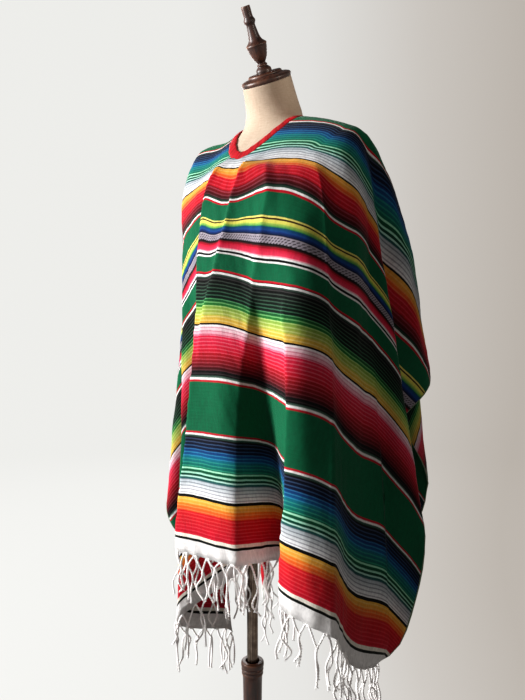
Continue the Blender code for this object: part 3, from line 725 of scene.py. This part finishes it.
def walnut(name, tilt):
    # stained and waxed walnut, turned: grain runs along the piece, satin gloss, and its edges lighter, wear
    # and a painted highlight together
    finish, tree, shader = newMaterial(name)
    place = addNode(tree, "TexCoord", output="Object")
    turned = addNode(tree, "Mapping", {"Vector": place, "Rotation": (-tilt, 0, 0)})
    stretched = addNode(tree, "Mapping", {"Vector": turned, "Scale": (260.0, 260.0, 26.0)})
    grain = addNode(tree, "TexNoise", {"Vector": stretched, "Scale": 1.0, "Detail": 5.0, "Distortion": 0.4})
    cloudy = addNode(tree, "TexNoise", {"Vector": turned, "Scale": 34.0, "Detail": 3.0})
    tone = ("MULTIPLY_ADD", grain, 0.65, ("MULTIPLY", cloudy, 0.35))
    browns = ((0.30, "#160A06"), (0.50, "#3A1D12"), (0.72, "#5C3220"))
    stain = addNode(tree, "ValToRGB", (tone,), stops=browns)
    # wear and painted highlight: sharp edges turn a lighter brown, unevenly
    wearAndHighlight = addNode(tree, "Attribute", attribute_name="wearAndHighlight", output="Fac")
    uneven = addNode(tree, "MapRange", {"Value": cloudy, "From Min": 0.35, "From Max": 0.65})
    rubbedAndHighlit = ("MULTIPLY", ("MULTIPLY", wearAndHighlight, uneven), 0.75)
    setInputs(tree, shader, {
        "Base Color": addNode(tree, "MixRGB", {"Fac": rubbedAndHighlit, "Color1": stain, "Color2": colour("#8A5A3C")}),
        "Roughness": ("MULTIPLY_ADD", grain, 0.30, 0.28), "Coat Weight": 0.12, "Coat Roughness": 0.35,
        "Normal": addNode(tree, "Bump", {"Height": grain, "Strength": 0.12, "Distance": 0.0006}),
    })
    return finish


def darkTube():
    # blackened steel tube: drawn lines along it and a few lighter rubs
    finish, tree, shader = newMaterial("blackened steel")
    place = addNode(tree, "TexCoord", output="Object")
    stretched = addNode(tree, "Mapping", {"Vector": place, "Scale": (700.0, 700.0, 9.0)})
    drawn = addNode(tree, "TexNoise", {"Vector": stretched, "Scale": 1.0, "Detail": 4.0})
    rubs = addNode(tree, "TexNoise", {"Vector": place, "Scale": 60.0, "Detail": 4.0})
    tone = addNode(tree, "Math", (drawn, 0.6, ("MULTIPLY", rubs, 0.4)), operation="MULTIPLY_ADD")
    greys = ((0.35, "#3A312C"), (0.52, "#665A50"), (0.70, "#94877A"))
    setInputs(tree, shader, {
        "Base Color": addNode(tree, "ValToRGB", (tone,), stops=greys),
        "Metallic": 1.0, "Roughness": ("MULTIPLY_ADD", tone, 0.30, 0.10),
        "Normal": addNode(tree, "Bump", {"Height": drawn, "Strength": 0.08, "Distance": 0.0004}),
    })
    return finish


def buildCloth(finish):
    # one sheet, made as thick as the weave, half to each side
    points, flat = clothSurface()
    mesh = gridMesh("ponchoCloth", points, closed=True, uv=flat)
    made = addPiece("ponchoCloth", mesh, finish, "form", ("poncho_cloth",))
    wall = made.modifiers.new("woven wall", "SOLIDIFY")
    wall.thickness = weaving["wall"]
    wall.offset = 0.0
    print("cloth:", len(mesh.polygons), "faces a side")
    return made, points, flat


# yarns: tubes for the fringes and the selvedges
def tubes(paths, radii, across, sides):
    # tubes along many paths at once: paths (tube, point, 3), radii (tube, point), across a rough side way;
    # each ring is the circle across the path's own direction
    ahead = unit(np.gradient(paths, axis=1))
    first = unit(np.cross(ahead, across))
    second = np.cross(ahead, first)
    turn = np.arange(sides) * 2 * pi / sides
    ring = first[:, :, None] * np.cos(turn)[:, None] + second[:, :, None] * np.sin(turn)[:, None]
    return paths[:, :, None] + ring * radii[:, :, None, None]


def tubeMesh(name, rings, lengths):
    # joins the rings of many tubes into one mesh of closed tubes, with a face at each end
    count, rows, sides = rings.shape[:3]
    tube, row, side = np.meshgrid(np.arange(count), np.arange(rows - 1), np.arange(sides), indexing="ij")
    after = (side + 1) % sides
    corners = ((row, side), (row, after), (row + 1, after), (row + 1, side))
    faces = np.stack([(tube * rows + r) * sides + s for r, s in corners], axis=-1).reshape(-1, 4)
    starts = np.arange(count)[:, None] * rows * sides + np.arange(sides)[::-1]
    ends = (np.arange(count)[:, None] * rows + rows - 1) * sides + np.arange(sides)
    mesh = bpy.data.meshes.new(name)
    mesh.from_pydata(rings.reshape(-1, 3).tolist(), [], faces.tolist() + starts.tolist() + ends.tolist())
    around = np.stack([side / sides, (side + 1) / sides, (side + 1) / sides, side / sides], axis=-1)
    down = np.stack([lengths[tube, r] for r in (row, row, row + 1, row + 1)], axis=-1)
    values = np.zeros((len(mesh.loops), 2), np.float32)
    values[:faces.size, 0] = around.reshape(-1)
    values[:faces.size, 1] = down.reshape(-1)
    mesh.uv_layers.new(name="flat").data.foreach_set("uv", values.reshape(-1))
    mesh.shade_smooth()
    return mesh


fringeWay = {
    "bunchEvery": 0.025, "fromCorner": 0.004, "uneven": 0.004, "tuck": 0.0012,  # bunches along the hem
    "netFrom": 0.012, "netTo": 0.034, "netShare": 0.30, "netSag": 0.0022,  # depth of the knots under it
    "knotOut": (-0.003, 0.006), "startAside": 0.002, "startOff": 0.001, "knotOff": 0.0008,
    "dangle": (0.056, 0.084), "longest": 0.098, "shorter": (0.72, 1.0), "sway": 0.006,
    "bends": ((1.0, 0.004), (2.4, 0.0022)),  # half waves down a dangling yarn, and their size
    "yarn": 0.00115, "plyOut": 0.85, "twistEvery": 0.0100, "looseFrom": 0.90, "looseOut": 1.6,
    "loosePower": 1.5, "looseSpread": (0.5, 1.0), "thinner": 0.25, "tip": (0.985, 0.35),  # their loose ends
    "hemBead": 0.0026, "knotBead": 0.0028, "beadDrop": 0.0015, "beadLumps": (0.12, 9), "beadTwist": 3,
    "points": 54, "sides": 5, "offAxis": 0.05,
}


def fringeYarns(hem, across, outward, seed):
    # warp ends in bunches: halves of neighbouring bunches meet at a knot and dangle from it as twisted pairs
    way, source = fringeWay, np.random.default_rng(seed)
    first, last = across.min(), across.max()
    bunches = int(round((last - first) / way["bunchEvery"]))
    order = np.argsort(across)
    edges = np.linspace(first + way["fromCorner"], last - way["fromCorner"], bunches)
    uneven = source.uniform(-way["uneven"], way["uneven"], bunches)
    edges = edges + uneven * (np.arange(bunches) % (bunches - 1) > 0)

    def onHem(places, values):
        return np.stack([np.interp(places, across[order], values[order][:, k]) for k in range(3)], axis=-1)

    knots = bunches + 1
    left, right = np.maximum(np.arange(knots) - 1, 0), np.minimum(np.arange(knots), bunches - 1)
    depth = source.uniform(way["netFrom"], way["netTo"], knots)
    aside = onHem(0.5 * (edges[left] + edges[right]), outward)
    hemPoints, out = onHem(edges, hem), source.uniform(*way["knotOut"], (knots, 1))
    knotPoints = 0.5 * (hemPoints[left] + hemPoints[right]) + aside * out
    knotPoints[:, 2] -= depth
    length = np.minimum(source.uniform(*way["dangle"], knots), way["longest"] - depth)
    starts, middles, tips = [], [], []
    for side, bunch in ((-1, left), (1, right)):
        off = way["startOff"]
        place = edges[bunch] - way["startAside"] * side + source.uniform(-off, off, knots)
        starts.append(onHem(np.clip(place, first + off, last - off), hem))
        middles.append(knotPoints + source.normal(0, way["knotOff"], (knots, 3)))
        drop = length * source.uniform(*way["shorter"], knots)
        swing = source.normal(0, way["sway"], (knots, 3)) * (1, 1, 0)
        tips.append(knotPoints + swing - drop[:, None] * (0, 0, 1))
    starts, middles, tips, normals = (np.concatenate(part)[:, None] for part in
                                      (starts, middles, tips, [aside] * len(starts)))
    # both plies of a yarn follow one path and turn round it; their ends come loose
    share = np.linspace(0, 1, way["points"])[None]
    upper = np.clip(share / way["netShare"], 0, 1)[..., None]
    lower = np.clip((share - way["netShare"]) / (1 - way["netShare"]), 0, 1)[..., None]
    paths = starts * (1 - upper) + middles * upper + normals * np.sin(pi * upper) * way["netSag"]
    waves = sum(np.sin(turns * pi * lower) * source.normal(0, size, (len(paths), 1, 3))
                for turns, size in way["bends"])
    paths = paths + (tips - middles) * lower + waves * (1, 1, 0)
    paths, normals = np.repeat(paths, 2, axis=0), np.repeat(normals, 2, axis=0)
    turnedBy = np.repeat(source.uniform(0, 2 * pi, len(starts)), 2)
    phases = np.tile((0.0, pi), len(starts))[:, None] + turnedBy[:, None]
    travelled = lengthAlong(paths)
    turn = travelled * 2 * pi / way["twistEvery"] + phases
    alongHem = np.cross(normals, np.array((0, 0, 1.0)))
    loosen = np.clip((share - way["looseFrom"]) / (1 - way["looseFrom"]), 0, 1) ** way["loosePower"]
    loose = way["looseOut"] * loosen * source.uniform(*way["looseSpread"], (len(paths), 1))
    around = way["yarn"] * (way["plyOut"] + loose)
    ring = alongHem * np.cos(turn)[..., None] + normals * np.sin(turn)[..., None]
    paths = paths + ring * around[..., None]
    tipFrom, tipThin = way["tip"]
    radii = way["yarn"] * (1.0 - way["thinner"] * loosen) * np.where(share > tipFrom, tipThin, 1.0)
    radii = radii * np.ones_like(travelled)
    rings = tubes(paths, radii, normals + way["offAxis"], way["sides"])
    # the small knots are beads: their radius is the root of one less the square of the way up
    beads = np.concatenate([hemPoints - np.array((0, 0, way["beadDrop"])), knotPoints])
    size = np.concatenate([np.full(bunches, way["hemBead"]), np.full(knots, way["knotBead"])])[:, None]
    up = np.linspace(-1, 1, way["points"])[None]
    beadPaths = beads[:, None] + np.array((0, 0, -1.0)) * (up * size)[..., None]
    lumpSize, lumpCount = way["beadLumps"]
    lumps = 1 + lumpSize * np.sin(up * lumpCount + np.arange(len(beads))[:, None])
    beadRadii = size * np.sqrt(np.clip(1 - up ** 2, 0.01, 1)) * lumps
    beadAcross = np.concatenate([onHem(edges, outward), aside])[:, None]
    beadRings = tubes(beadPaths, beadRadii, beadAcross + way["offAxis"], way["sides"])
    return np.concatenate([rings, beadRings]), np.concatenate([travelled, up * size * way["beadTwist"]])


def buildFringe(name, points, flat, index, finish, node, seed):
    # hangs the yarns from these mesh columns of the hem, just inside its edge
    hem, across = points[-1][index], flat[-1][index, 0]
    outward = unit(gridNormals(points)[-2][index] * (1, 1, 0))
    lift = unit(points[-2][index] - hem)
    rings, lengths = fringeYarns(hem + lift * fringeWay["tuck"], across, outward, seed)
    made = addPiece(name, tubeMesh(name, rings, lengths), finish, "form", (node,))
    print(name + ":", len(made.data.polygons), "faces")
    return made


selvedge = {"yarn": 0.00125, "lumps": 0.0002, "lumpsEvery": 0.017, "sides": 6, "offAxis": 0.02}


def buildSelvedges(points, finish):
    # overcast edge yarn down both open sides, one thin tube laid on the cloth's edge
    made = []
    for name, start, end in (("selvedgeLeft", "left front corner", "left back corner"),
                             ("selvedgeRight", "right back corner", "right front corner")):
        index = columnsBetween(start, end)
        path = points[-1][index][None]
        travelled = lengthAlong(path)
        radii = selvedge["yarn"] + selvedge["lumps"] * np.sin(travelled * 2 * pi / selvedge["lumpsEvery"])
        across = gridNormals(points)[-2][index][None] + selvedge["offAxis"]
        rings = tubes(path, radii, across, selvedge["sides"])
        made.append(addPiece(name, tubeMesh(name, rings, travelled), finish, "form"))
    print("selvedges:", sum(len(piece.data.polygons) for piece in made), "faces")
    return made


tape = {
    "width": 0.0115, "overCloth": 0.0035, "thick": 0.0034, "columns": 360, "around": 18,
    "flatness": (0.7, 0.6), "outerShare": 0.6, "under": 0.0011, "gap": 0.0002, "section": 0.03,
    "puckers": ((0.00012, 61, 0), (0.00015, 37, 1.3), (0.0003, 17, 0.4)), "edgeWaves": (0.0005, 23),
}


def buildBinding(finish):
    # flattened tube round the head hole: a squared oval section that wraps the cloth's edge
    angle = np.linspace(0, 2 * pi, tape["columns"], endpoint=False)
    side, forward = headHole(angle)
    turn = np.linspace(0, 2 * pi, tape["around"], endpoint=False)[:, None]
    reach = 0.5 * (tape["width"] + tape["overCloth"])
    flatWide, flatThick = tape["flatness"]
    section = np.sign(np.cos(turn)) * np.abs(np.cos(turn)) ** flatWide * reach
    thick = np.sign(np.sin(turn)) * np.abs(np.sin(turn)) ** flatThick
    pucker = sum(height * np.sin(angle * count + phase) for height, count, phase in tape["puckers"])
    outer = tape["outerShare"] * tape["thick"] + pucker * np.cos(turn * 0.5) ** 2
    lift = np.where(thick > 0, outer, tape["under"]) * thick
    waveHeight, waveCount = tape["edgeWaves"]
    inset = reach - tape["overCloth"] + section + waveHeight * np.sin(angle * waveCount)
    shrink = 1 - inset / np.hypot(side, forward)
    base = yokePoint(side * shrink, forward * shrink)
    points = base + yokeNormals(base) * (lift + tape["gap"])[..., None]
    edge = lengthAlong(points[0])
    aroundNeck = np.append(edge, edge[-1] + 0.0015)
    uv = np.broadcast_arrays(aroundNeck, np.linspace(0, tape["section"], tape["around"] + 1)[:, None])
    mesh = gridMesh("neckTape", np.concatenate([points, points[:1]]), closed=True, uv=np.stack(uv, axis=-1))
    pointOutwards(mesh, merge=1e-6)
    made = addPiece("neckTape", mesh, finish, "form", ("neck_binding",))
    print("neck tape:", len(mesh.polygons), "faces")
    return made


# the dress form: height, half width, half depth in front and behind; the neck: share of its height, half axes
body = {
    "sections": ((1.240, 0.158, 0.122, 0.128), (1.160, 0.146, 0.118, 0.110), (1.070, 0.130, 0.104, 0.095),
                 (0.985, 0.114, 0.090, 0.085), (0.880, 0.128, 0.092, 0.105), (0.790, 0.138, 0.090, 0.112),
                 (0.742, 0.136, 0.086, 0.108), (0.728, 0.124, 0.076, 0.096), (0.724, 0.060, 0.074, 0.040)),
    "neck": ((0.08, 0.0560, 0.0540), (0.28, 0.0525, 0.0520), (0.60, 0.0492, 0.0495), (0.97, 0.0471, 0.0481),
             (1.00, 0.0469, 0.0479), (1.00, 0.0450, 0.0460)),
    "neckFoot": (0.0590, 0.042, 0.066), "neckBase": (0.0, 0.072, 1.424), "neckTop": (0.0, 0.045, 1.487),
    "tilt": radians(26), "finialTilt": radians(28.5), "finialStretch": 1.15, "underCloth": 0.0015,
    "capGap": 0.0003, "capHeight": 0.0175, "columns": 160, "girth": 0.6,
}


def buildForm(finish):
    # rings from the neck's top down over the shoulders to the hips, rounded off by subdivision
    angles = np.linspace(0, 2 * pi, body["columns"], endpoint=False)
    rings = []
    for share, halfWidth, halfDepth in reversed(body["neck"]):
        middle = np.array(body["neckBase"]) * (1 - share) + np.array(body["neckTop"]) * share
        tilt = body["tilt"] * share
        side, forward = halfWidth * np.sin(angles), halfDepth * np.cos(angles)
        y, z = middle[1] - forward * cos(tilt), middle[2] - forward * sin(tilt)
        rings.append(np.stack([side, y, z], axis=-1))
    foot, hole, leave = oval(angles, body["neckFoot"]), headHole(angles), leaveOval(angles)
    for inner, outer, shares in ((foot, hole, (0, 0.5)), (hole, leave, np.linspace(0, 1, 7))):
        tops = yokePoint(*yokeRings(inner, outer, shares))
        rings += list(tops - yokeNormals(tops) * body["underCloth"])
    for height, halfWidth, front, back in body["sections"]:
        side, forward = oval(angles, (halfWidth, front, back))
        rings.append(np.stack([side, shoulders["y"] - forward, np.full_like(side, height)], axis=-1))
    points = np.array(rings)
    travelled = lengthAlong(np.swapaxes(points, 0, 1)).mean(axis=0)
    uv = np.broadcast_arrays(np.linspace(0, body["girth"], body["columns"] + 1), travelled[:, None])
    mesh = gridMesh("linenBody", points, closed=True, uv=np.stack(uv, axis=-1), capStart=True, capEnd=True)
    made = addPiece("linenBody", mesh, finish, "form", ("form_body",))
    smooth = made.modifiers.new("round", "SUBSURF")
    smooth.levels = smooth.render_levels = 1
    print("form:", len(mesh.polygons), "faces")
    return made


# the turned pieces: radius and height down each profile; share cut from each corner, strength of the lighter
# mark on sharp edges, wear and painted highlight together
turnings = {
    "cap": ((0.0300, 0.0170), (0.0330, 0.0150), (0.0330, 0.0120), (0.0400, 0.0110), (0.0470, 0.0085),
            (0.0490, 0.0050), (0.0475, 0.0)),
    "finial": ((0.0075, 0.1010), (0.0085, 0.0998), (0.0083, 0.0845), (0.0088, 0.0835), (0.0116, 0.0785),
               (0.0088, 0.0740), (0.0080, 0.0725), (0.0105, 0.0540), (0.0135, 0.0485), (0.0203, 0.0435),
               (0.0188, 0.0405), (0.0178, 0.0350), (0.0140, 0.0235), (0.0075, 0.0150), (0.0080, 0.0138),
               (0.0106, 0.0118), (0.0088, 0.0096), (0.0115, 0.0080), (0.0150, 0.0048), (0.0150, 0.0)),
    "column": ((0.0111, 0.090), (0.0111, 0.350), (0.0205, 0.350), (0.0228, 0.348), (0.0230, 0.340),
               (0.0205, 0.337), (0.0228, 0.333), (0.0200, 0.329), (0.0222, 0.325), (0.0187, 0.317),
               (0.0187, 0.090), (0.0240, 0.082), (0.0290, 0.060), (0.0330, 0.0403)),
    "base": ((0.0500, 0.040), (0.1100, 0.034), (0.1560, 0.026), (0.1620, 0.018), (0.1620, 0.006),
             (0.1580, 0.0)),
    "pole": ((0.0100, 0.7235), (0.0110, 0.7225), (0.0110, 0.201), (0.0100, 0.200)),
    "cut": 0.22, "wearAndHighlight": 2.2, "sharpAngle": radians(50),
}


def turnedPiece(name, profile, finish, body, node, steps=96, rounds=2, place=(0, 0, 0), tilt=0.0):
    # a profile carried round the axis; its corners are cut round after round, and a lighter mark, wear and
    # painted highlight together, goes on its sharp edges
    outline, cut = np.array(profile, float), turnings["cut"]
    for _ in range(rounds):
        start, end = outline[:-1], outline[1:]
        near, far = start * (1 - cut) + end * cut, start * cut + end * (1 - cut)
        outline = np.concatenate([outline[:1], np.stack([near, far], axis=1).reshape(-1, 2), outline[-1:]])
    way = unit(np.diff(outline, axis=0))
    bend = np.zeros(len(outline))
    bend[1:-1] = way[:-1, 0] * way[1:, 1] - way[:-1, 1] * way[1:, 0]
    # the lighter mark on convex edges is wear and a painted highlight together
    wearAndHighlight = np.repeat(np.clip(-bend * turnings["wearAndHighlight"], 0, 1), steps).astype(np.float32)
    angle = np.linspace(0, 2 * pi, steps, endpoint=False)
    radius, height = outline[:, :1], outline[:, 1:]
    local = np.stack(np.broadcast_arrays(radius * np.cos(angle), radius * np.sin(angle), height), axis=-1)
    turn = np.array(((1, 0, 0), (0, cos(tilt), -sin(tilt)), (0, sin(tilt), cos(tilt))))
    mesh = gridMesh(name, local @ turn.T + np.array(place), closed=True, capStart=True, capEnd=True)
    mesh.attributes.new("wearAndHighlight", "FLOAT", "POINT").data.foreach_set("value", wearAndHighlight)
    pointOutwards(mesh)
    mesh.set_sharp_from_angle(angle=turnings["sharpAngle"])
    made = addPiece(name, mesh, finish, body, (node,))
    print(name + ":", len(mesh.polygons), "faces")
    return made


def buildStand():
    # cap and finial lean with the neck; pole, column and base stand upright
    tilt = body["tilt"]
    alongNeck = np.array((0.0, -sin(tilt), cos(tilt)))
    capFoot = np.array(body["neckTop"]) + alongNeck * body["capGap"]
    finialFoot = capFoot + alongNeck * body["capHeight"]
    finial = [(radius, height * body["finialStretch"]) for radius, height in turnings["finial"]]
    tiltedWood, wood = walnut("walnut tilted", tilt), walnut("walnut", 0.0)
    turnedPiece("neckCap", turnings["cap"], tiltedWood, "form", "neck_cap",
                place=capFoot, tilt=tilt)
    turnedPiece("turnedFinial", finial, tiltedWood, "form", "finial", place=finialFoot,
                tilt=body["finialTilt"])
    turnedPiece("steelPole", turnings["pole"], darkTube(), "form", "pole", steps=48, rounds=1)
    turnedPiece("turnedColumn", turnings["column"], wood, "stand", "column")
    turnedPiece("roundBase", turnings["base"], wood, "stand", "base", steps=128)


# camera at the photograph's place; focal length, aside and frame are in the photograph's pixels
lens = {"azimuth": radians(39.0), "pitch": radians(5.46), "away": 1.245, "height": 1.097, "focal": 650.0,
        "aside": 10.5, "frame": (525, 700), "sensor": 36.0}


def buildCamera():
    # stands off from the pole at an angle, moved a little aside, and looks past it tilted down
    turn, pitch = lens["azimuth"], lens["pitch"]
    right = np.array((cos(turn), sin(turn), 0.0))
    ahead = np.array((-sin(turn) * cos(pitch), cos(turn) * cos(pitch), -sin(pitch)))
    place = np.array((sin(turn) * lens["away"], -cos(turn) * lens["away"], lens["height"]))
    place = place + right * lens["aside"] / lens["focal"] * lens["away"]
    data = bpy.data.cameras.new("camera")
    data.sensor_fit = "VERTICAL"
    data.sensor_height = lens["sensor"]
    data.lens = lens["focal"] / lens["frame"][1] * data.sensor_height
    made = addObject("camera", data)
    made.matrix_world = placed([right, np.cross(right, ahead), -ahead], place)
    bpy.context.scene.camera = made
    print("camera:", round(data.lens, 1), "mm")
    return right, ahead


middleOfCloth = (0.02, 0.02, 0.95)
studio = {
    "wallRadius": 4.6, "cove": 1.3, "coveSteps": 24, "wallHeight": 4.2,
    "hole": 0.02, "steps": 96, "under": 0.0005,
    # the backdrop's painted light: its glow, white on the window's side and greyer on the other, and a
    # painted shadow round the stand's foot
    "paintedLightTones": ((0.0, "#F2F2EF"), (0.35, "#F0F0ED"), (0.60, "#E6E5E2"), (0.82, "#CFCAC4"), (1.0, "#BFB8B0")),
    "paintedLightSpan": 0.45, "paintedLightSoftness": 2.2, "paintedFootShadow": (0.15, 0.42, 0.55), "paintedGlow": 0.80,
    "worldColour": "#F8F3EF", "world": 0.17,
    # each lamp: kind, place (to the right, ahead, up), what it shines on, colour, settings;
    # the narrow one opens up the shaded side of the neck
    "lamps": {
        "neck lamp": ("SPOT", (1.3, -0.9, 1.62), (0.0, 0.05, 1.475), "#FFF4E6",
                      {"energy": 42.0, "spot_size": radians(13), "spot_blend": 1.0,
                       "shadow_soft_size": 0.12}),
        "window": ("AREA", (-2.6, -0.30, 1.75), middleOfCloth, "#FFFFFF",
                   {"energy": 170.0, "shape": "RECTANGLE", "size": 0.8, "size_y": 1.7}),
        "fill": ("AREA", (1.2, -2.4, 1.9), middleOfCloth, "#FFF6EC",
                 {"energy": 3.0, "shape": "RECTANGLE", "size": 1.6, "size_y": 1.6}),
        "behind": ("AREA", (-0.2, 2.6, 1.9), middleOfCloth, "#FFFFFF",
                   {"energy": 45.0, "shape": "RECTANGLE", "size": 2.0, "size_y": 1.6}),
    },
}


def facing(spot, target):
    # a lamp at spot that shines towards target, as a matrix
    aim = unit(target - spot)
    sideways = unit(np.cross(aim, (0, 0, 1.0)))
    return placed([sideways, np.cross(sideways, aim), -aim], spot)


def paintedLightBackdrop(right):
    # matt paper that glows with painted light: white on the window's side, greyer on the other one, and a
    # painted shadow round the stand's foot
    finish, tree, shader = newMaterial("matt paper backdrop with painted light")
    place = addNode(tree, "TexCoord", output="Object")
    flatPlace = addNode(tree, "VectorMath", (place, (1.0, 1.0, 0.0)), operation="MULTIPLY")
    away = addNode(tree, "VectorMath", (flatPlace,), operation="LENGTH", output="Value")
    aside = addNode(tree, "VectorMath", (flatPlace, tuple(right)), operation="DOT_PRODUCT", output="Value")
    # painted light: the glow's tone follows how far a point lies towards the window's side
    level = ("DIVIDE", aside, ("SQRT", ("MULTIPLY_ADD", away, away, studio["paintedLightSoftness"])))
    span = studio["paintedLightSpan"]
    share = addNode(tree, "MapRange", {"Value": level, "From Min": -span, "From Max": span})
    # painted shadow: the glow darkens near the stand's foot
    near, far, dark = studio["paintedFootShadow"]
    paintedShadow = addNode(tree, "MapRange", {"Value": away, "From Min": near, "From Max": far, "To Min": dark,
                                        "To Max": 1.0}, interpolation_type="SMOOTHERSTEP")
    paintedLightTones = addNode(tree, "ValToRGB", (share,), stops=studio["paintedLightTones"])
    setInputs(tree, shader, {
        "Emission Color": addNode(tree, "MixRGB", {"Fac": 1.0, "Color1": paintedLightTones, "Color2": paintedShadow},
                                  blend_type="MULTIPLY"),
        "Emission Strength": studio["paintedGlow"], "Base Color": (0.04, 0.04, 0.04, 1), "Roughness": 1.0,
        "Specular IOR Level": 0.0,
    })
    return finish


def buildStudio(right, ahead):
    # floor and round wall in one turned sheet: flat, then a quarter round cove, then straight up
    radius, cove = studio["wallRadius"], studio["cove"]
    turn = np.linspace(0, pi / 2, studio["coveSteps"])
    rounded = np.stack([radius - cove + cove * np.sin(turn), cove - cove * np.cos(turn)], axis=-1)
    outline = np.concatenate([[(studio["hole"], 0), (radius - cove, 0)], rounded[1:],
                              [(radius, studio["wallHeight"])]])
    angle = np.linspace(0, 2 * pi, studio["steps"], endpoint=False)
    far, up = outline[:, :1], outline[:, 1:] - studio["under"]
    points = np.stack(np.broadcast_arrays(far * np.cos(angle), far * np.sin(angle), up), axis=-1)
    mesh = gridMesh("studioWall", points, closed=True, capStart=True)
    mesh.materials.append(paintedLightBackdrop(right))
    made = addObject("studioWall", mesh)
    made.visible_diffuse = False
    world = bpy.data.worlds.new("studio")
    world.use_nodes = True
    setInputs(world.node_tree, world.node_tree.nodes["Background"],
              {"Color": colour(studio["worldColour"]), "Strength": studio["world"]})
    bpy.context.scene.world = world
    for name, (kind, (side, depth, height), target, shade, settings) in studio["lamps"].items():
        data = bpy.data.lights.new(name, kind)
        data.color = colour(shade)[:3]
        for setting, value in settings.items():
            setattr(data, setting, value)
        lamp = addObject(name, data)
        spot = right * side + ahead * depth + np.array((0, 0, height))
        lamp.matrix_world = facing(spot, np.array(target))
        lamp.visible_camera = False
    bpy.context.scene.view_settings.view_transform = "Standard"
    bpy.context.scene.view_settings.look = "Medium High Contrast"
    print("studio:", len(studio["lamps"]), "lamps")


right, ahead = buildCamera()
buildStudio(right, ahead)
# each yarn: its lit colour, its painted shade colour for where the plies meet, and its twist length
whiteYarn = twistedYarn("white cotton yarn", "#FFFDFB", "#E4DCDA", 0.0045)
edgeYarn = twistedYarn("overcast edge yarn", "#7E8E72", "#3A4A3C", 0.0035)
cloth, points, flat = buildCloth(wovenStripes())
frontHem = columnsBetween("right front corner", "left front corner")
backHem = columnsBetween("left back corner", "right back corner")
frontFringe = buildFringe("fringeFrontYarn", points, flat, frontHem, whiteYarn, "fringe_front", 11)
backFringe = buildFringe("fringeBackYarn", points, flat, backHem, whiteYarn, "fringe_back", 12)
neckTape = buildBinding(redTape())
selvedges = buildSelvedges(points, edgeYarn)
buildForm(linenCover())
buildStand()
